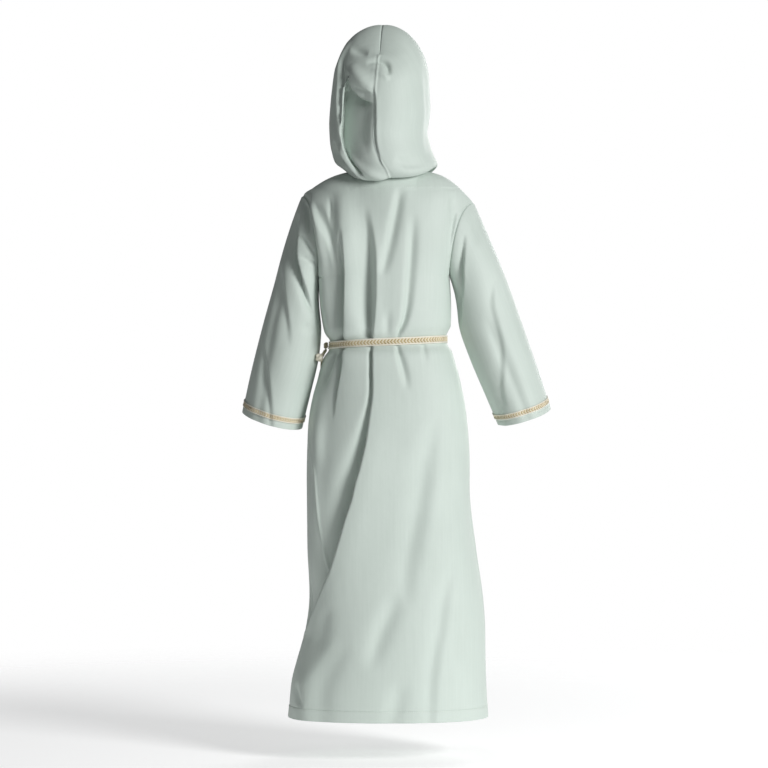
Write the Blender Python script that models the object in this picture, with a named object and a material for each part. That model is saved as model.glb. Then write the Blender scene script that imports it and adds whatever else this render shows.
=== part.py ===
"""Child's hooded robe, worn: back, front, two sleeves, hood, braid on the cuffs and a tied braid belt.

The robe keeps the hollow form it has on a standing wearer. +Z is up, the front faces -Y and the
wearer's left is +X. The origin lies in the middle of the neck, level with the shoulders that carry it.
Tables and sizes are in millimetres, and MM turns them into metres where a mesh is made.
"""

import math

import bpy
import numpy as np

MM = 0.001

# Cloth and seams
WALL = 2.0  # cloth wall
SEAM_GAP = 0.35  # between two pieces at a seam
BRAID_GAP = 0.4  # under the braid that lies on a piece
TIP_GAP = 0.6  # between an end of the belt and the knot at its tip, along the middle
BRAID_WALL = 1.2  # braid sewn on the cuffs
BELT_WALL = 2.2  # braid of the belt

# Heights
HEM_Z = -940.0
UNDERARM_Z = -173.0
WAIST_Z = -287.0

# Body outline: half widths to the wearer's left and right, half depths to the back and front
SQUARENESS = 2.3  # exponent of the body's rounded sections; 2 is an ellipse
BODY_COLUMNS = ("z", "left", "right", "back", "front")
BODY_SECTIONS = (
    (-940, 173, 175, 121, 126),
    (-880, 166, 172, 120, 125),
    (-820, 151, 170, 118, 123),
    (-750, 139, 168, 115, 119),
    (-650, 141, 155, 110, 113),
    (-560, 142, 144, 106, 108),
    (-470, 140, 142, 101, 103),
    (-400, 132, 135, 96, 98),
    (-340, 120, 123, 90, 92),
    (-310, 112, 114, 86, 88),
    (-287, 108, 109, 84, 86),
    (-260, 112, 110, 86, 89),
    (-215, 117, 110, 88, 92),
    (-173, 119, 107, 88, 93),
)

# Belt line: it sits lower on the wearer's left, and draws the cloth in along it
BELT_WIDTH = 14.0
BELT_DROP_LEFT = 5.5  # below the waist height at the left side, and above it at the right
BELT_REACH = 90.0  # how far above and below the waist the rows lean with the belt
PINCH_DEPTH = 7.0
PINCH_REACH = 17.0

# Shoulders, neck and armholes
SHOULDER_TIP = {"left": (150, -30), "right": (150, -42)}  # out from the centre, height
SHOULDER_SWELL = {"left": 7, "right": 13}  # how far the shoulder seam bows up between neck and tip
NECK_SIDE = (60, 12)  # out from the centre, height
NECK_DEPTH = {"back": 60, "front": 62}
NECK_HEIGHT = {"back": 5, "front": -46}
ARMHOLE_DEPTH = {"back": 50, "front": 46}
CENTRE_ROUNDING = 3.2  # exponent of the profile from chest to neck edge at the centre
ARMHOLE_ROUNDING_X = 1.9  # the same along the armhole, for how it moves out to the shoulder tip
ARMHOLE_ROUNDING_Y = 9.0  # and for how it closes towards the shoulder seam

# Neck slit at the centre front
SLIT_ROW = 2  # upper row, counted from the underarm, at which it opens
SLIT_HALF_WIDTH = 6.0  # at the neck edge

# Folds of the body. Degrees run round it: 0 left seam, 90 centre back, 180 right seam, 270 centre front.
# Depth is positive for a ridge and negative for a trough; fades are the lengths of its soft ends.
FOLD_COLUMNS = ("top", "low", "deg_top", "deg_mid", "deg_low", "width", "depth", "fade_top", "fade_low")
BODY_FOLDS = (
    (-85, -287, 80, 79, 78, 7, -10, 110, 0),
    (-287, -455, 78, 79, 77, 8, -11, 0, 60),
    (-400, -850, 74, 53, 14, 15, -12, 80, 110),
    (-360, -850, 87, 71, 33, 18, 7, 110, 120),
    (-110, -287, 50, 46, 43, 8, -9, 60, 0),
    (-287, -470, 45, 50, 53, 8, -8, 0, 120),
    (-380, -680, 33, 31, 24, 15, 5, 90, 120),
    (-40, -200, 103, 95, 86, 12, -4, 40, 80),
    (-70, -287, 109, 105, 98, 8, -5, 70, 0),
    (-287, -410, 97, 102, 106, 8, -5, 0, 70),
    (-430, -790, 125, 108, 96, 16, -7, 70, 140),
    (-660, -940, 130, 116, 110, 13, -7, 70, 0),
    (-735, -900, 43, 34, 23, 9, -6, 50, 60),
    (-790, -940, 65, 53, 47, 12, -6, 60, 0),
    (-120, -287, 246, 249, 252, 8, -8, 80, 0),
    (-287, -690, 252, 246, 238, 11, -9, 0, 180),
    (-140, -287, 291, 290, 287, 8, -7, 80, 0),
    (-287, -940, 287, 294, 302, 14, -9, 0, 0),
    (-180, -287, 317, 316, 314, 8, -6, 70, 0),
    (-287, -520, 314, 320, 326, 9, -7, 0, 120),
    (-150, -287, 214, 217, 220, 8, -6, 70, 0),
    (-287, -560, 220, 214, 208, 10, -6, 0, 140),
    (-520, -940, 262, 266, 270, 18, -8, 120, 0),
    (-430, -940, 232, 222, 216, 18, 7, 120, 0),
)

# Sleeves: the line of the outer and of the inner edge, the middle and half of the depth, and how much
# lower the back hangs than the line between the two edges
SLEEVE_COLUMNS = ("v", "outer_x", "outer_z", "inner_x", "inner_z", "mid_y", "half_depth", "back_drop")
SLEEVE_SECTIONS = {
    "left": (
        (0.00, 150, -30, 119.0, -173, 0, 46, 0),
        (0.08, 161, -50, 120.5, -188, 0, 49, 0),
        (0.20, 177, -97, 121.5, -215, -2, 52, 0),
        (0.40, 198, -178, 116.5, -262, -4, 53, 0),
        (0.60, 220, -258, 121.0, -315, -6, 55, 2),
        (0.80, 239, -334, 135.0, -375, -8, 58, 6),
        (1.00, 255, -408, 150.0, -436, -10, 61, 11),
    ),
    "right": (
        (0.00, 150, -42, 107.0, -173, 0, 46, 0),
        (0.08, 159, -61, 112.0, -186, 0, 49, 0),
        (0.20, 177, -102, 119.5, -212, -2, 52, 0),
        (0.40, 209, -182, 124.5, -262, -4, 53, 0),
        (0.60, 236, -258, 144.0, -318, -6, 56, 2),
        (0.80, 262, -332, 168.0, -374, -8, 60, 5),
        (1.00, 285, -402, 192.5, -430, -10, 65, 9),
    ),
}
SLEEVE_SETTLE = 0.35  # share of the length over which the armhole's shape becomes the tube's
# Folds of the sleeves: 0 is the inner edge, 90 the back, 180 the outer edge, 270 the front
SLEEVE_FOLD_COLUMNS = ("top", "low", "deg_top", "deg_mid", "deg_low", "width", "depth")
SLEEVE_FOLDS = {
    "left": (
        (0.06, 0.62, 118, 132, 84, 9, -6),
        (0.30, 1.10, 140, 128, 112, 10, -5),
        (0.05, 0.50, 236, 240, 262, 10, -6),
        (0.40, 1.10, 300, 288, 282, 12, -5),
    ),
    "right": (
        (0.03, 0.50, 66, 50, 40, 8, -6),
        (0.42, 1.10, 84, 92, 96, 11, -6),
        (0.05, 0.55, 286, 276, 262, 10, -6),
        (0.45, 1.10, 232, 240, 244, 12, -5),
    ),
}
CUFF_BRAID_WIDTH = 10.0
CUFF_BRAID_ABOVE_EDGE = 11.0

# Hood: back seam, widest point of the side, and face edge of each section from the neck upwards.
# lean moves a section to the wearer's left, sway lets its left back hang lower.
HOOD_COLUMNS = ("back_y", "back_z", "side_x", "side_y", "side_z", "rim_x", "rim_y", "rim_z", "lean", "sway")
HOOD_SECTIONS = (
    (87, -5, 81, 0, 19, 19, -77, -5, -3, 8),
    (97, 4, 88, 0, 24, 31, -86, 8, 1, 4),
    (101, 28, 88, 0, 46, 50, -92, 29, 10, 0),
    (100, 64, 86, 0, 80, 64, -94, 60, 16, 0),
    (101, 104, 88, 0, 118, 70, -94, 105, 14, 0),
    (99, 142, 86, 0, 155, 67, -93, 148, 13, 0),
    (93, 170, 81, 2, 190, 57, -91, 185, 11, 0),
    (86, 188, 71, 4, 218, 43, -89, 213, 10, 0),
    (81, 199, 58, 5, 240, 28, -87, 232, 10, 0),
    (77, 205, 40, 6, 256, 14, -86, 243, 9, 0),
    (74, 208, 0, 6, 267, 0, -85, 248, 8, 0),
)
HOOD_NECK_OUT = (8.0, 0.0)  # outwards from the neck seam to the next row, at the back and at the front
HOOD_NECK_UP = (8.0, 16.0)  # the same, upwards
HOOD_LIFT_POWER = 3.0  # how late, going from back to side, the sections rise
HOOD_TOP_END = 158.0  # degrees at which the top section, which has no width, meets the face edge
HOOD_TURN = 5.5  # degrees the hood turns, back seam towards the wearer's left
HOOD_TURN_BY = 60.0  # height by which it has turned fully

# Belt knot and ends at the wearer's left side
# A route's points: degrees round the body, height, and clearance of the middle off the cloth.
KNOT_DEG = 3.5
KNOT_SIZE = (8.0, 13.0, 12.0)
TIP_SIZE = (13.0, 14.0, 16.0)
END_COLUMNS = ("deg", "z", "clear")
SHORT_END_SECTION = (8.0, 4.2)  # width and thickness; it is rolled on itself
SHORT_END_ROUTE = (
    (4.2, -295.4, 5.4),
    (6.4, -299.8, 6.0),
    (8.6, -304.4, 7.2),
)
LONG_END_SECTION = (12.0, 2.4)
LONG_END_ROUTE = (
    (-3, -300, 5.6),
    (-8, -306, 5.4),
    (-15, -318, 4.2),
    (-21, -334, 3.0),
    (-25, -357, 3.0),
    (-27, -387, 3.0),
    (-28, -420, 3.0),
    (-28, -452, 3.0),
    (-28, -484, 6.5),
)

# Mesh density
BACK_COLUMNS = 36
FRONT_COLUMNS = 24
NECK_COLUMNS = 5  # of each half panel, along the neck edge
ARMHOLE_ROWS = 10
SLEEVE_ROWS = 14
SKIRT_ROWS = 17
WAIST_ROWS = 8
CHEST_ROWS = 3
WAIST_BAND = 28.0  # half height of the stretch with close rows

CLOTH_COLOUR = (0.60, 0.67, 0.61, 1.0)
BRAID_COLOUR = (0.62, 0.47, 0.23, 1.0)


def rows_of(columns, table):
    """Table rows as dictionaries with named columns."""
    return [dict(zip(columns, row)) for row in table]


def smooth_through(rows, at, of):
    """Smooth curve through one column of a table, as a function of another column that rises."""
    x = np.array([row[at] for row in rows], float)
    y = np.array([row[of] for row in rows], float)
    slope = np.gradient(y, x)

    def value(query):
        q = np.clip(query, x[0], x[-1])
        i = np.clip(np.searchsorted(x, q, side="right") - 1, 0, len(x) - 2)
        step = x[i + 1] - x[i]
        f = (q - x[i]) / step
        return (
            y[i] * (1 + 2 * f) * (1 - f) ** 2
            + y[i + 1] * (3 - 2 * f) * f**2
            + slope[i] * step * f * (1 - f) ** 2
            - slope[i + 1] * step * (1 - f) * f**2
        )

    return value


def soft_step(value):
    """0 below 0, 1 above 1, and smooth between them."""
    f = np.clip(value, 0.0, 1.0)
    return f * f * (3 - 2 * f)


def signed_power(value, power):
    return np.sign(value) * np.abs(value) ** power


def unit(vectors):
    return vectors / np.linalg.norm(vectors, axis=-1, keepdims=True)


def through_three(first, middle, last, share):
    """Quadratic through three values at shares 0, 0.5 and 1."""
    return (
        first * (1 - share) * (1 - 2 * share)
        + middle * 4 * share * (1 - share)
        + last * share * (2 * share - 1)
    )


BODY_ROWS = rows_of(BODY_COLUMNS, BODY_SECTIONS)
BODY_OUTLINE = {key: smooth_through(BODY_ROWS, "z", key) for key in BODY_COLUMNS[1:]}
FOLDS = rows_of(FOLD_COLUMNS, BODY_FOLDS)
CORNER_POWER = 2 / SQUARENESS


def fold_depth(degrees, z, radius):
    """Sum of the body's folds at an angle and a height, in millimetres along the outward normal."""
    total = np.zeros(np.broadcast(degrees, z).shape)
    for fold in FOLDS:
        share = (fold["top"] - z) / (fold["top"] - fold["low"])
        inside = (share >= 0) & (share <= 1)
        share = np.clip(share, 0, 1)
        centre = through_three(fold["deg_top"], fold["deg_mid"], fold["deg_low"], share)
        away = (degrees - centre + 180) % 360 - 180
        arc = np.radians(away) * radius
        from_top = (fold["top"] - z) / fold["fade_top"] if fold["fade_top"] else np.ones_like(total)
        from_low = (z - fold["low"]) / fold["fade_low"] if fold["fade_low"] else np.ones_like(total)
        strength = soft_step(from_top) * soft_step(from_low) * inside
        total += fold["depth"] * strength * np.exp(-((arc / fold["width"]) ** 2))
    return total


def belt_height(degrees):
    return WAIST_Z - BELT_DROP_LEFT * np.cos(np.radians(degrees))


def plain_body(degrees, z):
    """Body surface below the underarm with no folds, its outward direction in plan, and its mean radius."""
    c = np.cos(np.radians(degrees))
    s = np.sin(np.radians(degrees))
    half_x = np.where(c >= 0, BODY_OUTLINE["left"](z), BODY_OUTLINE["right"](z))
    half_y = np.where(s >= 0, BODY_OUTLINE["back"](z), BODY_OUTLINE["front"](z))
    x = half_x * signed_power(c, CORNER_POWER)
    y = half_y * signed_power(s, CORNER_POWER)
    out = np.stack([x / half_x**2, y / half_y**2, np.zeros_like(x)], axis=-1)
    pinch = PINCH_DEPTH * np.exp(-(((z - belt_height(degrees)) / PINCH_REACH) ** 4))
    points = np.stack([x, y, z + np.zeros_like(x)], axis=-1)
    out = unit(out)
    return points - out * pinch[..., None], out, (half_x + half_y) / 2


def lower_body(degrees, z):
    """Body surface below the underarm, folds included. Rows lean with the belt near the waist."""
    lean = np.exp(-(((z - WAIST_Z) / BELT_REACH) ** 4))
    z = z + (belt_height(degrees) - WAIST_Z) * lean
    points, out, radius = plain_body(degrees, z)
    return points + out * fold_depth(degrees, z, radius)[..., None]


def around(side, s):
    """Degrees round the body for a panel's column: s runs from -1 at the left seam to 1 at the right."""
    return (90 * (1 + s)) if side == "back" else (-90 * (1 + s)) % 360


def neck_point(side, share):
    """Neck edge from the centre (share 0) to the shoulder seam (share 1), on the wearer's left."""
    a = share * math.pi / 2
    face = 1 if side == "back" else -1
    drop = np.cos(a) ** 2
    return np.stack(
        [
            NECK_SIDE[0] * np.sin(a),
            face * NECK_DEPTH[side] * np.cos(a),
            NECK_SIDE[1] + (NECK_HEIGHT[side] - NECK_SIDE[1]) * drop,
        ],
        axis=-1,
    )


def top_edge(side, s, neck_share):
    """Top edge of a panel: the neck edge, and beyond neck_share the shoulder seam out to its tip."""
    t = np.abs(s)
    hand = np.where(s <= 0, 1.0, -1.0)
    tip_x = np.where(s <= 0, SHOULDER_TIP["left"][0], SHOULDER_TIP["right"][0])
    tip_z = np.where(s <= 0, SHOULDER_TIP["left"][1], SHOULDER_TIP["right"][1])
    along = np.clip((t - neck_share) / (1 - neck_share), 0, 1)
    neck = neck_point(side, np.clip(t / neck_share, 0, 1))
    x = np.where(along > 0, NECK_SIDE[0] + (tip_x - NECK_SIDE[0]) * along, neck[..., 0])
    y = np.where(along > 0, 0.0, neck[..., 1])
    swell = np.where(s <= 0, SHOULDER_SWELL["left"], SHOULDER_SWELL["right"])
    seam_z = NECK_SIDE[1] + (tip_z - NECK_SIDE[1]) * along + swell * np.sin(math.pi * along)
    z = np.where(along > 0, seam_z, neck[..., 2])
    return np.stack([hand * x, y, z], axis=-1)


def turn_in(rise, rounding):
    """Share of the way from the chest's outline to the top edge, for a share of the height."""
    return 1 - (1 - rise**rounding) ** (1 / rounding)


def upper_body(side, s, w, neck_share):
    """Panel above the underarm: w runs from 0 at the underarm to 1 at the shoulder seam and neck."""
    t = np.abs(s)
    hand = np.where(s <= 0, 1.0, -1.0)
    face = 1 if side == "back" else -1
    rise = (1 - np.cos(math.pi * w)) / 2
    turn_x = turn_in(rise, CENTRE_ROUNDING + (ARMHOLE_ROUNDING_X - CENTRE_ROUNDING) * t)
    turn_y = turn_in(rise, CENTRE_ROUNDING + (ARMHOLE_ROUNDING_Y - CENTRE_ROUNDING) * t**3)
    reach = np.where(s <= 0, BODY_OUTLINE["left"](UNDERARM_Z), BODY_OUTLINE["right"](UNDERARM_Z))
    depth = BODY_OUTLINE[side](UNDERARM_Z)
    edge_y = ARMHOLE_DEPTH[side] * np.sin(math.pi * w)
    start = np.arcsin((edge_y / depth) ** (1 / CORNER_POWER))
    angle = start + (math.pi / 2 - start) * (1 - t)
    x = reach / np.cos(start) ** CORNER_POWER * np.cos(angle) ** CORNER_POWER
    y = depth * np.sin(angle) ** CORNER_POWER
    level = np.stack([hand * x, face * y, np.zeros_like(x)], axis=-1)
    top = top_edge(side, s + np.zeros_like(w), neck_share)
    points = level + (top - level) * np.stack([turn_x, turn_y, turn_x], axis=-1)
    points[..., 2] = UNDERARM_Z + (top[..., 2] - UNDERARM_Z) * rise
    out = unit(np.stack([hand * x / reach**2, face * y / depth**2, np.zeros_like(x)], axis=-1))
    folds = fold_depth(around(side, s), points[..., 2], (reach + depth) / 2)
    edge_fade = soft_step((1 - t) / 0.15) * soft_step((1 - rise) / 0.25)
    return points + out * (folds * edge_fade)[..., None]


def body_rows():
    """Heights of the rows below the underarm, close together at the waist."""
    low, high = WAIST_Z - WAIST_BAND, WAIST_Z + WAIST_BAND
    skirt = np.linspace(HEM_Z, low, SKIRT_ROWS + 1)
    waist = np.linspace(low, high, WAIST_ROWS + 1)
    chest = np.linspace(high, UNDERARM_Z, CHEST_ROWS + 1)
    return np.concatenate([skirt, waist[1:], chest[1:]])


def panel_points(side, columns):
    """Outer points of a whole panel, rows from the hem upwards and columns from the left seam."""
    s = np.linspace(-1, 1, columns + 1)
    neck_share = NECK_COLUMNS / (columns / 2)
    z = body_rows()
    lower = lower_body(around(side, s)[None, :] + 0 * z[:, None], z[:, None] + 0 * s[None, :])
    w = np.arange(1, ARMHOLE_ROWS + 1) / ARMHOLE_ROWS
    upper = upper_body(side, s[None, :] + 0 * w[:, None], w[:, None] + 0 * s[None, :], neck_share)
    lower[:, [0, -1], 1] = 0.0
    return np.concatenate([lower, upper])


def grid_normals(points, outward):
    """Unit normals of a grid of points, on the side that outward, a sample direction per point, faces."""
    normals = unit(np.cross(np.gradient(points, axis=1), np.gradient(points, axis=0)))
    flip = np.sign(np.sum(normals * outward, axis=-1, keepdims=True))
    return normals * np.where(flip == 0, 1, flip)


def ring_normals(points):
    """Unit normals of a grid whose columns close into a ring, facing away from the ring's middle."""
    across = np.roll(points, -1, axis=1) - np.roll(points, 1, axis=1)
    normals = unit(np.cross(across, np.gradient(points, axis=0)))
    outward = points - points.mean(axis=1, keepdims=True)
    flip = np.sign(np.sum(normals * outward, axis=(1, 2), keepdims=True))
    return normals * flip


def seam_frame(along, to_panel, to_other, outward):
    """Frame of a seam at each of its points, from its direction and the ways that its two pieces leave it.

    It is the normal that both pieces share there, and the direction square to it towards the panel.
    """
    along = unit(along)
    to_panel = unit(to_panel - along * np.sum(to_panel * along, axis=-1, keepdims=True))
    to_other = unit(to_other - along * np.sum(to_other * along, axis=-1, keepdims=True))
    onto_panel = unit(to_panel - to_other)
    normal = np.cross(along, onto_panel)
    return normal * np.sign(np.sum(normal * outward, axis=-1, keepdims=True)), onto_panel


def armhole(panels, hand):
    """Armhole's ring, from the underarm up the back and down the front, and the ways onto the panels."""
    column, neighbour = (0, 1) if hand == "left" else (-1, -2)
    rows = slice(-ARMHOLE_ROWS - 1, None)
    ring, onto = [], []
    for side in ("back", "front"):
        edge = panels[side][rows, column]
        ways = panels[side][rows, neighbour] - edge
        ways[0] = panels[side][-ARMHOLE_ROWS - 2, column] - edge[0]
        ring.append(edge)
        onto.append(ways)
    ring = np.concatenate([ring[0], ring[1][-2:0:-1]])
    return ring, np.concatenate([onto[0], onto[1][-2:0:-1]])


def armhole_frame(arm, first_row):
    """Seam frame of an armhole, from its ring, the ways onto the panels and the sleeve's first row."""
    ring, onto = arm
    along = np.roll(ring, -1, axis=0) - np.roll(ring, 1, axis=0)
    return seam_frame(along, onto, first_row - ring, ring - ring.mean(axis=0))


def neck_line(panels, hand):
    """Neck seam of one side from the centre back to the centre front, and the ways from it onto the panels."""
    line, onto = [], []
    step = -1 if hand == "left" else 1
    for side, order in (("back", 1), ("front", -1)):
        points = panels[side]
        middle = (points.shape[1] - 1) // 2
        columns = middle + step * np.arange(NECK_COLUMNS + 1)
        edge = points[-1, columns]
        ways = points[-2, columns] - edge
        ways[-1] = points[-1, columns[-1] + step] - edge[-1]
        line.append(edge[::order])
        onto.append(ways[::order])
    return np.concatenate([line[0], line[1][1:]]), np.concatenate([onto[0], onto[1][1:]])


def neck_risen(line):
    """Hood's row next above the neck seam, which rolls over the back panel and stands up at the front."""
    to_front = soft_step(np.linspace(-0.4, 1.4, len(line)))[:, None]
    outwards = HOOD_NECK_OUT[0] + (HOOD_NECK_OUT[1] - HOOD_NECK_OUT[0]) * to_front
    upwards = HOOD_NECK_UP[0] + (HOOD_NECK_UP[1] - HOOD_NECK_UP[0]) * to_front
    return line + unit(line * (1, 1, 0)) * outwards + upwards * (0, 0, 1)


def neck_frame(panels, hand):
    """Points and seam frame of the neck seam on one side, the centre points of both sides alike."""
    line, onto = neck_line(panels, hand)
    along = np.gradient(line, axis=0)
    along[[0, -1]] *= (1, 0, 0)
    onto[[0, -1], 0] = 0.0
    rise = neck_risen(line) - line
    rise[[0, -1], 0] = 0.0
    return line, *seam_frame(along, onto, rise, line * (1, 1, 0))


def seam_panel(side, points, normals, arm_frames, necks):
    """Sets a panel's edge points half a gap back from each seam, with the normals that its seams share."""
    half_gap = SEAM_GAP / 2
    face = 1 if side == "back" else -1
    first_upper = len(points) - ARMHOLE_ROWS
    for column in (0, -1):
        normals[:first_upper, column, 1] = 0.0
        points[:first_upper, column, 1] += face * half_gap
    normals[-1, :, 1] = 0.0
    middle = (points.shape[1] - 1) // 2
    beyond_neck = np.abs(np.arange(points.shape[1]) - middle) >= NECK_COLUMNS
    points[-1, beyond_neck, 1] += face * half_gap
    for column, hand in ((0, "left"), (-1, "right")):
        normal, onto_panel = arm_frames[hand]
        order = np.arange(ARMHOLE_ROWS + 1)
        if side == "front":
            order = -order % len(normal)
        normals[-ARMHOLE_ROWS - 1 :, column] = normal[order]
        points[-ARMHOLE_ROWS - 1 :, column] += onto_panel[order] * half_gap
    for hand, step in (("left", -1), ("right", 1)):
        _, normal, onto_panel = necks[hand]
        order = np.arange(NECK_COLUMNS + 1)
        columns = middle + step * order
        if side == "front":
            order = len(normal) - 1 - order
        centre = points[-1, middle].copy()
        normals[-1, columns] = normal[order]
        points[-1, columns] += onto_panel[order] * half_gap
        if hand == "right":
            points[-1, middle] = centre
    return points, unit(normals)


def material(name, colour, roughness, metallic):
    made = bpy.data.materials.new(name)
    made.use_nodes = True
    shader = made.node_tree.nodes["Principled BSDF"]
    shader.inputs["Base Color"].default_value = colour
    shader.inputs["Roughness"].default_value = roughness
    shader.inputs["Metallic"].default_value = metallic
    return made


def add_object(name, points, faces, finish):
    mesh = bpy.data.meshes.new(name)
    mesh.from_pydata((np.asarray(points) * MM).tolist(), [], [list(map(int, face)) for face in faces])
    mesh.materials.append(finish)
    mesh.shade_smooth()
    mesh.set_sharp_from_angle(angle=math.radians(50))
    mesh.update()
    made = bpy.data.objects.new(name, mesh)
    bpy.context.scene.collection.objects.link(made)
    return made


def rim_quads(faces, count):
    """Quads of a wall's rim, from its outer faces and the number of points in its outer side."""
    used = {edge for face in faces for edge in zip(face, face[1:] + face[:1])}
    return [(b, a, a + count, b + count) for a, b in sorted(used) if (b, a) not in used]


def outward_faces(points, normals, faces):
    """The faces turned, all together, so that they face the way the normals do."""
    total = 0.0
    for face in faces:
        corners = points[list(face)]
        total += np.dot(np.cross(corners[2] - corners[0], corners[3] - corners[1]), normals[face[0]])
    return faces if total > 0 else [tuple(reversed(face)) for face in faces]


def smallest_area(points, triangles):
    return min(np.linalg.norm(np.cross(points[b] - points[a], points[c] - points[a])) for a, b, c in triangles)


def hollow_split(points, quads):
    """Triangles of quads, cut along the diagonal that leaves each quad hollow: neighbours stay clear."""
    triangles = []
    for a, b, c, d in quads:
        height = np.dot(np.cross(points[b] - points[a], points[c] - points[a]), points[d] - points[a])
        triangles += ((a, b, c), (a, c, d)) if height > 0 else ((a, b, d), (b, c, d))
    return triangles


def short_split(points, quads):
    """Triangles of quads, cut along the shorter diagonal, which runs along a fold and not across it.

    Where that would cut off a narrow corner, the other diagonal is used.
    """
    triangles = []
    for a, b, c, d in quads:
        first, second = ((a, b, c), (a, c, d)), ((a, b, d), (b, c, d))
        if np.linalg.norm(points[b] - points[d]) < np.linalg.norm(points[a] - points[c]):
            first, second = second, first
        if smallest_area(points, first) < 0.4 * smallest_area(points, second):
            first = second
        triangles += first
    return triangles


def cloth_wall(name, points, normals, faces, finish, wall=WALL):
    """Closed wall of cloth from its outer points, their normals and the quads between them."""
    count = len(points)
    outer = outward_faces(points, normals, faces)
    both = np.concatenate([points, points - normals * wall])
    outer_triangles = short_split(both, outer)
    inner_triangles = [(a + count, c + count, b + count) for a, b, c in outer_triangles]
    rim_triangles = hollow_split(both, rim_quads(outer, count))
    return add_object(name, both, outer_triangles + inner_triangles + rim_triangles, finish)


def grid_faces(rows, columns, closed=False):
    """Quads of a grid of points, and across its last column too where the columns close into a ring."""
    spans = columns if closed else columns - 1
    return [
        (
            r * columns + c,
            r * columns + (c + 1) % columns,
            (r + 1) * columns + (c + 1) % columns,
            (r + 1) * columns + c,
        )
        for r in range(rows - 1)
        for c in range(spans)
    ]


def open_slit(points, normals):
    """Front panel's points with the centre column doubled above the slit's foot, and its faces."""
    rows, columns = points.shape[:2]
    middle = (columns - 1) // 2
    foot = rows - ARMHOLE_ROWS - 1 + SLIT_ROW
    opening = np.zeros(rows)
    opening[foot:] = SLIT_HALF_WIDTH * np.linspace(0, 1, rows - foot)
    right_edge = points[foot + 1 :, middle] - opening[foot + 1 :, None] * (1, 0, 0)
    points = points.copy()
    points[:, middle, 0] += opening
    flat = np.concatenate([points.reshape(-1, 3), right_edge])
    flat_normals = np.concatenate([normals.reshape(-1, 3), normals[foot + 1 :, middle]])
    doubled = {(foot + 1 + i) * columns + middle: rows * columns + i for i in range(len(right_edge))}
    faces = []
    for number, face in enumerate(grid_faces(rows, columns)):
        right_half = number % (columns - 1) >= middle
        faces.append(tuple(doubled.get(corner, corner) for corner in face) if right_half else face)
    return flat, flat_normals, faces


def sleeve_surface(hand, ring):
    """Function giving a sleeve's outer points for a share of its length at the ring's columns."""
    rows = rows_of(SLEEVE_COLUMNS, SLEEVE_SECTIONS[hand])
    line = {key: smooth_through(rows, "v", key) for key in SLEEVE_COLUMNS[1:]}
    folds = rows_of(SLEEVE_FOLD_COLUMNS, SLEEVE_FOLDS[hand])
    side = 1 if hand == "left" else -1
    degrees = np.arange(len(ring)) * 360 / len(ring)
    phi = np.radians(degrees)

    def surface(v):
        v = v + np.zeros(len(ring))
        outer = np.stack([side * line["outer_x"](v), line["mid_y"](v), line["outer_z"](v)], axis=-1)
        inner = np.stack([side * line["inner_x"](v), line["mid_y"](v), line["inner_z"](v)], axis=-1)
        middle, half = (outer + inner) / 2, (outer - inner) / 2
        depth = np.stack([0 * v, line["half_depth"](v), -line["back_drop"](v)], axis=-1)
        tube = middle - half * np.cos(phi)[:, None] + depth * np.sin(phi)[:, None]
        settled = soft_step(v / SLEEVE_SETTLE)[:, None]
        points = ring * (1 - settled) + tube * settled
        out = unit(points - (ring.mean(axis=0) * (1 - settled) + middle * settled))
        radius = (np.linalg.norm(half, axis=-1) + line["half_depth"](v)) / 2
        for fold in folds:
            share = np.clip((v - fold["top"]) / (fold["low"] - fold["top"]), 0, 1)
            centre = through_three(fold["deg_top"], fold["deg_mid"], fold["deg_low"], share)
            arc = np.radians((degrees - centre + 180) % 360 - 180) * radius
            strength = soft_step(share / 0.25) * soft_step((1 - share) / 0.25)
            points = points + out * (
                fold["depth"] * strength * np.exp(-((arc / fold["width"]) ** 2))
            )[:, None]
        return points

    return surface


def make_sleeve(hand, surface, frame, cloth, braid):
    """Sleeve as one tube of cloth, and the ring of braid round its cuff."""
    last = 1 - 1 / SLEEVE_ROWS
    length = np.linalg.norm(surface(1.0) - surface(last), axis=-1) / (1 - last)
    low = 1 - CUFF_BRAID_ABOVE_EDGE / length
    top = low - CUFF_BRAID_WIDTH / length
    shares = [share + 0 * top for share in np.linspace(0, 1, SLEEVE_ROWS + 1)[:-1]]
    shares += [top, low, 1 + 0 * top]
    points = np.stack([surface(share) for share in shares])
    normals = ring_normals(points)
    normals[0], onto_panel = frame
    points[0] -= onto_panel * SEAM_GAP / 2
    faces = grid_faces(len(shares), points.shape[1], closed=True)
    cloth_wall(f"sleeve_{hand}", points.reshape(-1, 3), normals.reshape(-1, 3), faces, cloth)

    band = points[-3:-1] + normals[-3:-1] * (BRAID_GAP + BRAID_WALL)
    faces = grid_faces(2, points.shape[1], closed=True)
    outward = normals[-3:-1].reshape(-1, 3)
    cloth_wall(f"cuff_braid_{hand}", band.reshape(-1, 3), outward, faces, braid, BRAID_WALL)


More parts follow.
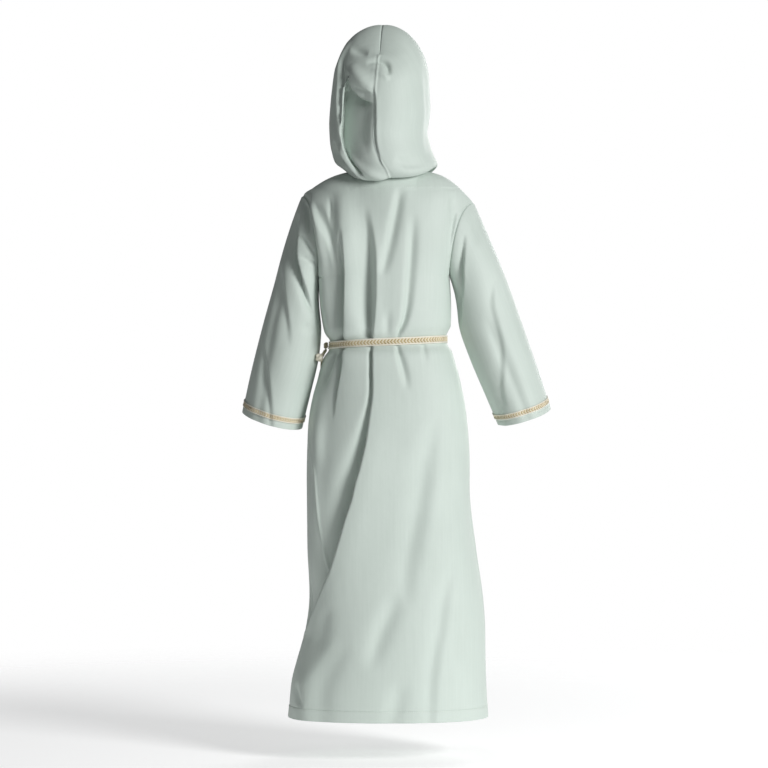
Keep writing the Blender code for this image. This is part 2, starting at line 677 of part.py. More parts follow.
def hood_half(hand, neck_seam, cloth):
    """One half of the hood, from the centre seam over the head to the face edge."""
    side = 1 if hand == "left" else -1
    line, neck_normal, onto_panel = neck_seam
    line = line.copy()
    line[-1, 0] += side * SLIT_HALF_WIDTH
    shares = np.arange(NECK_COLUMNS + 1) / NECK_COLUMNS
    rows = [line - onto_panel * SEAM_GAP / 2, neck_risen(line)]
    for section in rows_of(HOOD_COLUMNS, HOOD_SECTIONS):
        width = section["side_x"]
        end = 180 - math.degrees(math.asin(section["rim_x"] / width)) if width else HOOD_TOP_END
        a = np.radians(np.concatenate([90 * shares, 90 + (end - 90) * shares[1:]]))
        behind = a <= math.pi / 2 + 1e-9
        to_back = np.abs(np.cos(a)) ** CORNER_POWER
        to_rim = (np.abs(np.cos(a)) / abs(math.cos(math.radians(end)))) ** CORNER_POWER
        y = section["side_y"] + np.where(
            behind,
            (section["back_y"] - section["side_y"]) * to_back,
            (section["rim_y"] - section["side_y"]) * to_rim,
        )
        lift = np.where(behind, np.sin(a) ** HOOD_LIFT_POWER, 1.0)
        to_edge = (a - math.pi / 2) / (math.radians(end) - math.pi / 2)
        drop = np.where(behind, 0.0, np.sin(np.clip(to_edge, 0, 1) * math.pi / 2) ** 2)
        z = section["back_z"] + (section["side_z"] - section["back_z"]) * lift
        z = z + (section["rim_z"] - section["side_z"]) * drop
        z = z - np.where(behind & (side > 0), section["sway"] * np.sin(2 * a), 0.0)
        x = side * width * np.sin(a)
        turned = math.radians(HOOD_TURN) * soft_step(z / HOOD_TURN_BY)
        leaned = section["lean"]
        rows.append(
            np.stack(
                [x * np.cos(turned) + y * np.sin(turned) + leaned, y * np.cos(turned) - x * np.sin(turned), z],
                axis=-1,
            )
        )
    points = np.stack(rows)
    middle = points.mean(axis=(0, 1)) * (0, 1, 1)
    normals = grid_normals(points, points - middle)
    normals[1:, 0] = centre_seam_normals(points[:, 0])[1:]
    normals[-1] = centre_seam_normals(points[-1])
    normals[0] = neck_normal
    points[:, 0] += seam_side(points[:, 0], normals[:, 0], side)
    points[-1, 1:] += seam_side(points[-1], normals[-1], side)[1:]
    grid = grid_faces(points.shape[0], points.shape[1])
    cloth_wall(f"hood_{hand}", points.reshape(-1, 3), normals.reshape(-1, 3), grid, cloth)


def centre_seam_normals(line):
    """Normals along the hood's centre seam, which both halves share: square to it, away from the head."""
    along = np.gradient(line, axis=0) * (0, 1, 1)
    normals = unit(np.cross(along, (1.0, 0, 0)))
    outward = line * (0, 1, 1) - np.array((0, 0, 110.0))
    return normals * np.sign(np.sum(normals * outward, axis=-1, keepdims=True))


def seam_side(line, normals, side):
    """Half a gap to one side of the hood's centre seam, square to the seam and to its normals."""
    across = unit(np.cross(normals, np.gradient(line, axis=0)))
    return across * np.sign(across[:, :1]) * side * SEAM_GAP / 2


def make_belt(braid):
    """Band of braid round the waist, in the groove that it draws in the cloth."""
    back = around("back", np.linspace(-1, 1, BACK_COLUMNS + 1))[:-1]
    front = around("front", np.linspace(-1, 1, FRONT_COLUMNS + 1))[:0:-1]
    degrees = np.concatenate([back, front])
    levels = np.array((-0.5, 0.5)) * BELT_WIDTH
    z = belt_height(degrees)[None, :] + levels[:, None]
    points, out, _ = plain_body(degrees[None, :] + 0 * z, z)
    lifted = points + out * (BRAID_GAP + BELT_WALL)
    faces = grid_faces(2, len(degrees), closed=True)
    cloth_wall("belt_band", lifted.reshape(-1, 3), out.reshape(-1, 3), faces, braid, BELT_WALL)


def make_lump(name, at, size, finish):
    """Rounded knot of braid: a ball with its three sizes, its waist drawn in a little."""
    rings, spokes = 8, 12
    polar = np.pi * np.arange(1, rings) / rings
    turn = 2 * np.pi * np.arange(spokes) / spokes
    waist = 1 - 0.10 * np.cos(2 * turn)[None, :] * np.sin(polar)[:, None]
    shell = np.stack(
        [
            np.sin(polar)[:, None] * np.cos(turn)[None, :] * waist,
            np.sin(polar)[:, None] * np.sin(turn)[None, :] * waist,
            np.cos(polar)[:, None] + 0 * turn[None, :],
        ],
        axis=-1,
    ).reshape(-1, 3)
    points = np.concatenate([shell, [(0, 0, 1), (0, 0, -1)]]) * np.array(size) / 2 + np.array(at)
    faces = [tuple(reversed(face)) for face in grid_faces(rings - 1, spokes, closed=True)]
    top, foot = len(shell), len(shell) + 1
    last = (rings - 2) * spokes
    faces += [(top, i, (i + 1) % spokes) for i in range(spokes)]
    faces += [(foot, last + (i + 1) % spokes, last + i) for i in range(spokes)]
    add_object(name, points, faces, finish)


def make_strip(name, path, across, section, finish):
    """Flat end of braid along a path, with its width laid along the direction across."""
    along = unit(np.gradient(path, axis=0))
    across = unit(across - along * np.sum(across * along, axis=-1, keepdims=True))
    normal = np.cross(along, across)
    half_width, half_wall = section[0] / 2, section[1] / 2
    corners = ((1, 1), (-1, 1), (-1, -1), (1, -1))
    rings = [path + across * half_width * a + normal * half_wall * n for a, n in corners]
    points = np.stack(rings, axis=1).reshape(-1, 3)
    count = len(path)
    faces = grid_faces(count, 4, closed=True)
    faces += [(3, 2, 1, 0), tuple((count - 1) * 4 + i for i in range(4))]
    add_object(name, points, faces, finish)


def skirt_point(degrees, z, clear):
    """Point at a clearance off the skirt's outer surface, and the outward direction there."""
    _, out, _ = plain_body(np.array(degrees), np.array(z))
    return lower_body(np.array(degrees), np.array(z)) + out * clear, out


def make_belt_end(name, route, section, braid):
    """Free end of the belt over the skirt, and the knotted tip below it."""
    rows = rows_of(END_COLUMNS, route)
    found = [skirt_point(row["deg"], row["z"], row["clear"]) for row in rows]
    path = np.array([point for point, _ in found])
    outs = np.array([out for _, out in found])
    make_strip(f"belt_end_{name}", path, np.cross(np.gradient(path, axis=0), outs), section, braid)
    along = unit(path[-1] - path[-2])
    reach = 1 / np.linalg.norm(along / (np.array(TIP_SIZE) / 2))
    make_lump(f"belt_tip_{name}", path[-1] + along * (reach + TIP_GAP), TIP_SIZE, braid)


def make_belt_ends(braid):
    """Knot on the belt at the left side, a short end that turns back, and a long one that hangs in front."""
    belt_point, out, _ = plain_body(np.array(KNOT_DEG), belt_height(KNOT_DEG))
    knot_at = belt_point + out * (2.5 * BRAID_GAP + BELT_WALL + KNOT_SIZE[0] / 2)
    make_lump("belt_knot", knot_at, KNOT_SIZE, braid)
    make_belt_end("short", SHORT_END_ROUTE, SHORT_END_SECTION, braid)
    make_belt_end("long", LONG_END_ROUTE, LONG_END_SECTION, braid)


def build():
    for old in list(bpy.data.objects):
        bpy.data.objects.remove(old, do_unlink=True)
    cloth = material("sage cloth", CLOTH_COLOUR, 0.75, 0.0)
    braid = material("gold braid", BRAID_COLOUR, 0.45, 0.35)

    panels = {"back": panel_points("back", BACK_COLUMNS), "front": panel_points("front", FRONT_COLUMNS)}
    hands = ("left", "right")
    arms = {hand: armhole(panels, hand) for hand in hands}
    surfaces = {hand: sleeve_surface(hand, arms[hand][0]) for hand in hands}
    arm_frames = {hand: armhole_frame(arms[hand], surfaces[hand](1 / SLEEVE_ROWS)) for hand in hands}
    necks = {hand: neck_frame(panels, hand) for hand in hands}
    chest = np.array((0, 0, UNDERARM_Z))
    for side, points in panels.items():
        normals = grid_normals(points, (points - chest) * (1, 1, 0.4))
        points, normals = seam_panel(side, points.copy(), normals, arm_frames, necks)
        if side == "front":
            flat, flat_normals, faces = open_slit(points, normals)
        else:
            flat, flat_normals = points.reshape(-1, 3), normals.reshape(-1, 3)
            faces = grid_faces(*points.shape[:2])
        cloth_wall(f"{side}_panel", flat, flat_normals, faces, cloth)
    for hand in hands:
        make_sleeve(hand, surfaces[hand], arm_frames[hand], cloth, braid)
        hood_half(hand, necks[hand], cloth)
    make_belt(braid)
    make_belt_ends(braid)


build()
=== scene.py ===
# Child-size hooded robe in its worn form: cloth, creases, seams, stitching and braid over the packed
# part. +Z is up, the front faces -Y and the robe's left is +X. Sizes are in millimetres unless a
# note says otherwise, and mm turns them into metres where a mesh is made.
import math

import bmesh
import bpy
import numpy as np
from mathutils import Matrix, Vector


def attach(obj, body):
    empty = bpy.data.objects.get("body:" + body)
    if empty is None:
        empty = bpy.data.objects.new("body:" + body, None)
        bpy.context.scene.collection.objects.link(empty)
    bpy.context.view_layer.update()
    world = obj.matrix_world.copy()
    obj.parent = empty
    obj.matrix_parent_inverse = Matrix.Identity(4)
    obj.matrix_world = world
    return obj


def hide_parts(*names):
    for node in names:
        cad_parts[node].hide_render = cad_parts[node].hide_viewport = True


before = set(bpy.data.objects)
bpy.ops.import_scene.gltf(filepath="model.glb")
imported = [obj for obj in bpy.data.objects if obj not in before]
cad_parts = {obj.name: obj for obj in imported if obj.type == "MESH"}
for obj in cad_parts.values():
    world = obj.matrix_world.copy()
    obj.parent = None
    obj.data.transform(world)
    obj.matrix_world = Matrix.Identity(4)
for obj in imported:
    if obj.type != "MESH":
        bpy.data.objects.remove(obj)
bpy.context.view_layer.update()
mm = 0.001
handSign = {"left": 1, "right": -1}
faceSign = {"back": 1, "front": -1}
upwards = np.array((0.0, 0.0, 1.0))

# Where the robe is seen from: creases on the back are placed as they look from there
eye = {"x": 7.0, "z": -360.0, "distance": 5000.0, "sensor": 36.0, "across": 1344.0}


# Small maths
def rowsOf(columns, table):
    return [dict(zip(columns, row)) for row in table]


def softStep(value):
    f = np.clip(value, 0.0, 1.0)
    return f * f * (3 - 2 * f)


def signedPower(value, power):
    return np.sign(value) * np.abs(value) ** power


def unit(vectors):
    return vectors / np.maximum(np.linalg.norm(vectors, axis=-1, keepdims=True), 1e-9)


def throughThree(first, middle, last, share):
    start = first * (1 - share) * (1 - 2 * share)
    return start + middle * 4 * share * (1 - share) + last * share * (2 * share - 1)


def hermite(x, y, slope, query):
    # smooth curve through y at the rising places x; y may have several columns
    q = np.clip(query, x[0], x[-1])
    i = np.clip(np.searchsorted(x, q, side="right") - 1, 0, len(x) - 2)
    step = x[i + 1] - x[i]
    f = (q - x[i]) / step
    while f.ndim < y[i].ndim:
        f = f[..., None]
        step = step[..., None]
    near = y[i] * (1 + 2 * f) * (1 - f) ** 2 + slope[i] * step * f * (1 - f) ** 2
    return near + y[i + 1] * (3 - 2 * f) * f**2 - slope[i + 1] * step * (1 - f) * f**2


def smoothThrough(rows, at, of):
    x = np.array([row[at] for row in rows], float)
    y = np.array([row[of] for row in rows], float)
    slope = np.gradient(y, x)
    return lambda query: hermite(x, y, slope, np.asarray(query, float))


def bell(distance, reach, power=2):
    # 1 on the spot, fading to nothing past the reach; a high power keeps a flat top
    return np.exp(-((distance / reach) ** power))


def fadeIn(distance, reach):
    # 0 at an end and 1 past the reach; a reach of 0 is no fade
    return softStep(distance / reach) if reach else 1.0


def arcFrom(degrees, centre, radius):
    # distance round a ring from the centre, to either side
    return np.radians((degrees - centre + 180) % 360 - 180) * radius


def slowWaves(points, scale, seed):
    # uneven waves of about 1, the same each run, that keep large plain cloth from looking ironed
    p = points / scale
    total = 0.0
    for k in range(4):
        a = seed * 1.7 + k * 2.4
        wave = np.array((math.sin(a), math.sin(a * 1.9 + 1), math.cos(a * 1.3))) * (1 + 0.6 * k)
        total = total + np.sin(p @ wave + a * 3.1) / (1 + 0.5 * k)
    return total / 2.2


# Body: the solid's own sections, so that the shell keeps its form
body = {
    "squareness": 2.3,
    "hemZ": -940.0,
    "underarmZ": -173.0,
    "waistZ": -287.0,
    "beltDropLeft": 5.5,
    "beltReach": 90.0,
    "pinchDepth": 7.0,
    "pinchReach": 17.0,
    "shoulderTip": {"left": (150, -30), "right": (150, -42)},
    "shoulderSwell": {"left": 7, "right": 13},
    "neckSide": (60, 12),
    "neckDepth": {"back": 60, "front": 62},
    "neckHeight": {"back": 5, "front": -46},
    "armholeDepth": {"back": 50, "front": 46},
    "cornerSoftness": 0.2,
    "cornerPower": 10,
    "cornerFade": (0.8, 0.2),
    "centreRounding": 3.2,
    "armholeRoundingX": 1.9,
    "armholeRoundingY": 9.0,
    "neckShare": {"back": 5 / 18, "front": 5 / 12},
    "foldFadeSide": 0.15,
    "foldFadeTop": 0.25,
    "columns": ("z", "left", "right", "back", "front"),
    "sections": (
        (-940, 173, 175, 121, 126),
        (-880, 166, 172, 120, 125),
        (-820, 151, 170, 118, 123),
        (-750, 139, 168, 115, 119),
        (-650, 141, 155, 110, 113),
        (-560, 142, 144, 106, 108),
        (-470, 140, 142, 101, 103),
        (-400, 132, 135, 96, 98),
        (-340, 120, 123, 90, 92),
        (-310, 112, 114, 86, 88),
        (-287, 108, 109, 84, 86),
        (-260, 112, 110, 86, 89),
        (-215, 117, 110, 88, 92),
        (-173, 119, 107, 88, 93),
    ),
    # broad folds: degrees run round the body, 0 left seam, 90 centre back, 180 right, 270 centre front
    "foldColumns": ("top", "low", "degTop", "degMid", "degLow", "width", "depth", "fadeTop", "fadeLow"),
    "folds": (
        (-380, -680, 33, 31, 24, 15, 5, 90, 120),
        (-120, -287, 246, 249, 252, 8, -8, 80, 0),
        (-287, -690, 252, 246, 238, 11, -9, 0, 180),
        (-140, -287, 291, 290, 287, 8, -7, 80, 0),
        (-287, -940, 287, 294, 302, 14, -9, 0, 0),
        (-180, -287, 317, 316, 314, 8, -6, 70, 0),
        (-287, -520, 314, 320, 326, 9, -7, 0, 120),
        (-150, -287, 214, 217, 220, 8, -6, 70, 0),
        (-287, -560, 220, 214, 208, 10, -6, 0, 140),
        (-520, -940, 262, 266, 270, 18, -8, 120, 0),
        (-430, -940, 232, 222, 216, 18, 7, 120, 0),
    ),
}
bodyRows = rowsOf(body["columns"], body["sections"])
outline = {key: smoothThrough(bodyRows, "z", key) for key in body["columns"][1:]}
broadFolds = rowsOf(body["foldColumns"], body["folds"])
cornerPower = 2 / body["squareness"]


def foldDepth(degrees, z, radius):
    total = np.zeros(np.broadcast(degrees, z).shape)
    for fold in broadFolds:
        share = (fold["top"] - z) / (fold["top"] - fold["low"])
        inside = (share >= 0) & (share <= 1)
        share = np.clip(share, 0, 1)
        centre = throughThree(fold["degTop"], fold["degMid"], fold["degLow"], share)
        ends = fadeIn(fold["top"] - z, fold["fadeTop"]) * fadeIn(z - fold["low"], fold["fadeLow"])
        total += fold["depth"] * ends * inside * bell(arcFrom(degrees, centre, radius), fold["width"])
    return total


def beltHeight(degrees):
    return body["waistZ"] - body["beltDropLeft"] * np.cos(np.radians(degrees))


def beltLean(degrees, z):
    # near the waist, rows of the cloth follow the belt, which hangs lower at the left
    return (beltHeight(degrees) - body["waistZ"]) * bell(z - body["waistZ"], body["beltReach"], 4)


def plainBody(degrees, z):
    c = np.cos(np.radians(degrees))
    s = np.sin(np.radians(degrees))
    halfX = np.where(c >= 0, outline["left"](z), outline["right"](z))
    halfY = np.where(s >= 0, outline["back"](z), outline["front"](z))
    x = halfX * signedPower(c, cornerPower)
    y = halfY * signedPower(s, cornerPower)
    out = unit(np.stack([x / halfX**2, y / halfY**2, np.zeros_like(x)], axis=-1))
    pinch = body["pinchDepth"] * bell(z - beltHeight(degrees), body["pinchReach"], 4)
    points = np.stack([x, y, z + np.zeros_like(x)], axis=-1)
    return points - out * pinch[..., None], out, (halfX + halfY) / 2


def lowerBody(degrees, z):
    z = z + beltLean(degrees, z)
    points, out, radius = plainBody(degrees, z)
    return points + out * foldDepth(degrees, z, radius)[..., None]


def around(side, s):
    return (90 * (1 + s)) if side == "back" else (-90 * (1 + s)) % 360


def neckPoint(side, share):
    a = share * math.pi / 2
    face = faceSign[side]
    rise = body["neckHeight"][side] - body["neckSide"][1]
    return np.stack(
        [
            body["neckSide"][0] * np.sin(a),
            face * body["neckDepth"][side] * np.cos(a),
            body["neckSide"][1] + rise * np.cos(a) ** 2,
        ],
        axis=-1,
    )


def topEdge(side, s):
    t = np.abs(s)
    neckShare = body["neckShare"][side]
    left = s <= 0
    tipX = np.where(left, body["shoulderTip"]["left"][0], body["shoulderTip"]["right"][0])
    tipZ = np.where(left, body["shoulderTip"]["left"][1], body["shoulderTip"]["right"][1])
    swell = np.where(left, body["shoulderSwell"]["left"], body["shoulderSwell"]["right"])
    along = np.clip((t - neckShare) / (1 - neckShare), 0, 1)
    neck = neckPoint(side, np.clip(t / neckShare, 0, 1))
    sideX, sideZ = body["neckSide"]
    x = np.where(along > 0, sideX + (tipX - sideX) * along, neck[..., 0])
    y = np.where(along > 0, 0.0, neck[..., 1])
    seamZ = sideZ + (tipZ - sideZ) * along + swell * np.sin(math.pi * along)
    z = np.where(along > 0, seamZ, neck[..., 2])
    return np.stack([np.where(left, x, -x), y, z], axis=-1)


def turnIn(rise, rounding):
    return 1 - (1 - rise**rounding) ** (1 / rounding)


def softTop(side, s, t, rise):
    # the seam's corner at the neck softens in the cloth below it, but not at the armhole
    sharp = topEdge(side, s)
    steps = body["cornerSoftness"] * np.array((-1.0, -0.6, -0.25, 0.0, 0.25, 0.6, 1.0))
    soft = sum(topEdge(side, np.clip(s + step, -1, 1)) for step in steps) / len(steps)
    atSeam = rise ** body["cornerPower"]
    start, reach = body["cornerFade"]
    atArmhole = softStep((t - start) / reach)
    return soft + (sharp - soft) * (atSeam + (1 - atSeam) * atArmhole)[..., None]


def upperBody(side, s, w):
    t = np.abs(s)
    hand = np.where(s <= 0, 1.0, -1.0)
    face = faceSign[side]
    rise = (1 - np.cos(math.pi * w)) / 2
    centre = body["centreRounding"]
    turnX = turnIn(rise, centre + (body["armholeRoundingX"] - centre) * t)
    turnY = turnIn(rise, centre + (body["armholeRoundingY"] - centre) * t**3)
    low = body["underarmZ"]
    reach = np.where(s <= 0, outline["left"](low), outline["right"](low))
    depth = outline[side](low)
    edgeY = body["armholeDepth"][side] * np.sin(math.pi * w)
    start = np.arcsin((edgeY / depth) ** (1 / cornerPower))
    angle = start + (math.pi / 2 - start) * (1 - t)
    x = reach / np.cos(start) ** cornerPower * np.cos(angle) ** cornerPower
    y = depth * np.sin(angle) ** cornerPower
    level = np.stack([hand * x, face * y, np.zeros_like(x)], axis=-1)
    s = s + np.zeros_like(w)
    top = softTop(side, s, t, rise)
    points = level + (top - level) * np.stack([turnX, turnY, turnX], axis=-1)
    points[..., 2] = low + (top[..., 2] - low) * rise
    points[..., 2] += beltLean(around(side, s), points[..., 2]) * (1 - rise) ** 8
    out = unit(np.stack([hand * x / reach**2, face * y / depth**2, np.zeros_like(x)], axis=-1))
    folds = foldDepth(around(side, s), points[..., 2], (reach + depth) / 2)
    fade = fadeIn(1 - t, body["foldFadeSide"]) * fadeIn(1 - rise, body["foldFadeTop"])
    return points + out * (folds * fade)[..., None]


def gridNormals(points, outward):
    normals = unit(np.cross(np.gradient(points, axis=1), np.gradient(points, axis=0)))
    flip = np.sign(np.sum(normals * outward, axis=-1, keepdims=True))
    return normals * np.where(flip == 0, 1, flip)


def ringNormals(points):
    across = np.roll(points, -1, axis=1) - np.roll(points, 1, axis=1)
    normals = unit(np.cross(across, np.gradient(points, axis=0)))
    outward = points - points.mean(axis=1, keepdims=True)
    return normals * np.sign(np.sum(normals * outward, axis=(1, 2), keepdims=True))


def fromEdge(points, axis, last=False):
    # distance of each grid point from the first or last line of the grid, measured over the cloth
    steps = np.linalg.norm(np.diff(points, axis=axis), axis=2)
    steps = np.flip(steps, axis) if last else steps
    start = np.zeros_like(np.take(steps, [0], axis=axis))
    run = np.concatenate([start, np.cumsum(steps, axis=axis)], axis=axis)
    return np.flip(run, axis) if last else run


# Creases: each is a line of stations (x, z, down, width), placed as it is seen from behind or from
# the front. down and width are the trough's depth and reach there; a down below 0 is a ridge. side
# says where the trough lies from a line that is drawn downwards: 1 to the robe's left, -1 to its
# right, 0 on both sides. On the other side the cloth rises by up over upWidth, and sharp is half
# the distance in which one turns into the other; with narrows it shrinks with the trough. over
# slides the risen cloth across the trough, as a lap does, and dies away over overReach. power 2 is
# a soft trough, and a higher one has steeper walls.
creasePlain = {
    "side": 0, "power": 2, "up": 0.0, "upWidth": 15.0, "sharp": 3.0, "narrows": False,
    "over": 0.0, "overReach": 6.0,
}
creaseFine = {"stepsPerStation": 7, "leastSharp": 2.0, "leastWidth": 0.5, "leastDown": 0.1}


def crease(*stations, **shape):
    return {**creasePlain, **shape, "stations": np.array(stations, float)}


def asSeen(points, face):
    # face 1 is the back, with the small growth of what is nearer the eye; -1 is the front, straight on
    if face < 0:
        return points[..., 0], points[..., 2]
    grow = eye["distance"] / (eye["distance"] - points[..., 1])
    return eye["x"] + (points[..., 0] - eye["x"]) * grow, eye["z"] + (points[..., 2] - eye["z"]) * grow


def besideLine(px, pz, line):
    # for each point: the line's values at its nearest place, the distance, the side and the way there
    a, b = line[:-1], line[1:]
    run = b[:, :2] - a[:, :2]
    f = ((px - a[:, 0]) * run[:, 0] + (pz - a[:, 1]) * run[:, 1]) / np.sum(run**2, axis=1)
    f = np.clip(f, 0, 1)
    offX = px - (a[:, 0] + f * run[:, 0])
    offZ = pz - (a[:, 1] + f * run[:, 1])
    best = np.argmin(offX**2 + offZ**2, axis=1)
    row = np.arange(len(best))
    offX, offZ, f = offX[row, best], offZ[row, best], f[row, best]
    here = a[best] + (b[best] - a[best]) * f[:, None]
    run = run[best] / np.linalg.norm(run[best], axis=1, keepdims=True)
    return here, np.sqrt(offX**2 + offZ**2), offZ * run[:, 0] - offX * run[:, 1], run


def creaseDepth(x, z, line):
    stations = line["stations"]
    arc = np.concatenate([[0], np.cumsum(np.linalg.norm(np.diff(stations[:, :2], axis=0), axis=1))])
    places = np.linspace(0, arc[-1], creaseFine["stepsPerStation"] * len(stations))
    fine = hermite(arc, stations, np.gradient(stations, arc, axis=0), places)
    up, side = line["up"], line["side"]
    reach = 3 * max(fine[:, 3].max(), line["upWidth"] if up else 0)
    result = np.zeros((3, *x.shape))
    near = (x > fine[:, 0].min() - reach) & (x < fine[:, 0].max() + reach)
    near &= (z > fine[:, 1].min() - reach) & (z < fine[:, 1].max() + reach)
    if not near.any():
        return result
    here, distance, away, run = besideLine(x[near][:, None], z[near][:, None], fine)
    down, width = here[:, 2], np.maximum(here[:, 3], creaseFine["leastWidth"])
    trough = -down * bell(distance, width, line["power"])
    if side:
        sharp = line["sharp"]
        if line["narrows"]:
            sharp = np.maximum(sharp * width / fine[:, 3].max(), creaseFine["leastSharp"])
        inTrough = softStep((away * side / sharp + 1) / 2)
        strength = down / max(np.abs(fine[:, 2]).max(), creaseFine["leastDown"])
        risen = up * strength * bell(distance, line["upWidth"])
        trough = trough * inTrough + risen * (1 - inTrough)
        slide = line["over"] * strength * (1 - 2 * inTrough) * bell(distance, line["overReach"])
        result[1][near] = -side * run[:, 1] * slide
        result[2][near] = side * run[:, 0] * slide
    result[0][near] = trough
    return result


def creased(points, creases, face):
    # where troughs meet they run together, without adding up; what stands out does add up
    x, z = asSeen(points, face)
    sunk = np.zeros_like(x)
    raised = np.zeros_like(x)
    slide = np.zeros((*x.shape, 3))
    for line in creases:
        depth, slideX, slideZ = creaseDepth(x, z, line)
        sunk += np.maximum(-depth, 0) ** 3
        raised += np.maximum(depth, 0)
        slide[..., 0] += slideX
        slide[..., 2] += slideZ
    return raised - np.cbrt(sunk), slide


# Mesh making
def placed(name, data):
    made = bpy.data.objects.new(name, data)
    bpy.context.scene.collection.objects.link(made)
    return made


def addPiece(name, mesh, material, nodes=()):
    made = placed(name, mesh)
    mesh.materials.append(material)
    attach(made, "root")
    if nodes:
        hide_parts(*nodes)
    return made


def meshFrom(name, bm):
    mesh = bpy.data.meshes.new(name)
    bm.to_mesh(mesh)
    bm.free()
    mesh.shade_smooth()
    return mesh


def gridMesh(name, points, closed=False):
    # a grid bent to the points, its UV map in metres along and across the cloth
    rows, columns = points.shape[:2]
    bm = bmesh.new()
    bm.loops.layers.uv.new("clothMap")
    bmesh.ops.create_grid(bm, x_segments=columns - 1, y_segments=rows - 1, size=1, calc_uvs=True)
    mesh = meshFrom(name, bm)
    place = np.zeros(len(mesh.vertices) * 3, np.float32)
    mesh.vertices.foreach_get("co", place)
    place = place.reshape(-1, 3)
    column = np.rint((place[:, 0] + 1) / 2 * (columns - 1)).astype(int)
    row = np.rint((place[:, 1] + 1) / 2 * (rows - 1)).astype(int)
    mesh.vertices.foreach_set("co", (points[row, column] * mm).astype(np.float32).ravel())
    across = fromEdge(points, 1)
    across -= across[:, columns // 2][:, None]
    flat = np.stack([across, fromEdge(points, 0)], axis=-1) * mm
    corner = np.zeros(len(mesh.loops), np.int32)
    mesh.loops.foreach_get("vertex_index", corner)
    uv = flat[row[corner], column[corner]].astype(np.float32)
    mesh.uv_layers["clothMap"].data.foreach_set("uv", uv.ravel())
    if closed:
        bm = bmesh.new()
        bm.from_mesh(mesh)
        bmesh.ops.remove_doubles(bm, verts=bm.verts, dist=1e-6)
        bm.to_mesh(mesh)
        bm.free()
    return mesh


def faceOut(mesh, outward):
    # turns all faces together so that they face outward, a direction for each place
    total = 0.0
    for number in range(0, len(mesh.polygons), max(1, len(mesh.polygons) // 500)):
        polygon = mesh.polygons[number]
        total += polygon.normal.dot(Vector(outward(np.array(polygon.center) / mm)))
    if total < 0:
        mesh.flip_normals()
    mesh.update()


def addCloth(name, mesh, outward, wall, node):
    faceOut(mesh, outward)
    piece = addPiece(name, mesh, cloth, [node])
    solid = piece.modifiers.new("wall", "SOLIDIFY")
    solid.thickness = wall * mm
    solid.offset = -1
    return piece


def joinMeshes(name, meshes):
    bm = bmesh.new()
    for mesh in meshes:
        bm.from_mesh(mesh)
        bpy.data.meshes.remove(mesh)
    return meshFrom(name, bm)


def spaced(path, fields, pitch, closed):
    # stations at an even distance along a path, with the fields that belong to it
    line = np.concatenate([path, path[:1]]) if closed else path
    run = np.concatenate([[0], np.cumsum(np.linalg.norm(np.diff(line, axis=0), axis=1))])
    count = max(2, int(run[-1] / pitch))
    places = np.linspace(0, run[-1], count + 1)[:-1] + run[-1] / count / 2
    found = []
    for field in (path, *fields):
        values = np.concatenate([field, field[:1]]) if closed else field
        found.append(np.stack([np.interp(places, run, values[:, k]) for k in range(3)], axis=-1))
    along = unit(np.gradient(found[0], axis=0))
    return [found[0], along, *[unit(field) for field in found[1:]]]


def addStrand(bm, middle, along, outward, size):
    # a small smooth grain of thread, of size length, breadth and height
    aside = np.cross(outward, along)
    half = (aside * size[1] / 2, outward * size[2] / 2, along * size[0] / 2)
    place = np.eye(4)
    place[:3] = np.stack([*half, middle], axis=1) * mm
    bmesh.ops.create_uvsphere(bm, u_segments=6, v_segments=5, radius=1.0, matrix=Matrix(place.tolist()))


# Materials
class Wire:
    # a socket with arithmetic: each sign adds the Math node that it needs
    def __init__(self, shop, socket):
        self.shop = shop
        self.socket = socket

    def math(self, operation, *others):
        return self.shop.node("ShaderNodeMath", dict(enumerate((self, *others))), operation=operation)

    def __add__(self, other):
        return self.math("ADD", other)

    def __mul__(self, other):
        return self.math("MULTIPLY", other)

    __radd__ = __add__
    __rmul__ = __mul__


class Shop:
    # makes the nodes of one material or world
    def __init__(self, owner):
        self.owner = owner
        owner.use_nodes = True
        self.tree = owner.node_tree
        self.tree.nodes.clear()

    def node(self, kind, inputs=None, output=0, stops=None, **settings):
        made = self.tree.nodes.new(kind)
        for key, value in settings.items():
            setattr(made, key, value)
        if stops:
            ramp = made.color_ramp.elements
            for element, (place, colour) in zip(ramp, stops):
                element.position = place
                element.color = (*colour, 1.0)
        for key, value in (inputs or {}).items():
            if isinstance(value, Wire):
                self.tree.links.new(value.socket, made.inputs[key])
            else:
                made.inputs[key].default_value = value
        return Wire(self, made.outputs[output])

    def noise(self, vector, scale, detail=2.0):
        return self.node("ShaderNodeTexNoise", {"Vector": vector, "Scale": scale, "Detail": detail})

    def bump(self, height, strength, distance, **under):
        inputs = {"Height": height, "Strength": strength, "Distance": distance, **under}
        return self.node("ShaderNodeBump", inputs)

    def ownMap(self):
        # the piece's own map in metres, and its parts across and along the cloth
        uv = self.node("ShaderNodeTexCoord", output="UV")
        across = self.node("ShaderNodeSeparateXYZ", {"Vector": uv}, output="X")
        return uv, across, Wire(self, across.socket.node.outputs["Y"])

    def finish(self, shader, kind="ShaderNodeOutputMaterial"):
        out = self.tree.nodes.new(kind)
        self.tree.links.new(shader.socket, out.inputs["Surface"])
        return self.owner


clothFinish = {
    "colour": (0.622, 0.700, 0.648),
    "shade": (0.565, 0.642, 0.590),
    "patch": 9.0,  # unevenness of the dye, waves to a metre
    "threadPitch": 0.62,
    "slub": 260.0,  # uneven threads to a metre
    "slubStretch": 26.0,
    "rumple": 46.0,  # small unevenness of the surface, waves to a metre
    "weights": (0.55, 0.35, 0.10),  # of patch, slub and weave in the colour
    "ramp": (0.3, 0.68),
    "weaveDepth": (0.10, 0.3),
    "rumpleDepth": (0.35, 1.2),
    "roughness": 0.5,
    "slubRoughness": 0.12,
    "sheenTint": (0.9, 0.96, 0.92, 1.0),
}


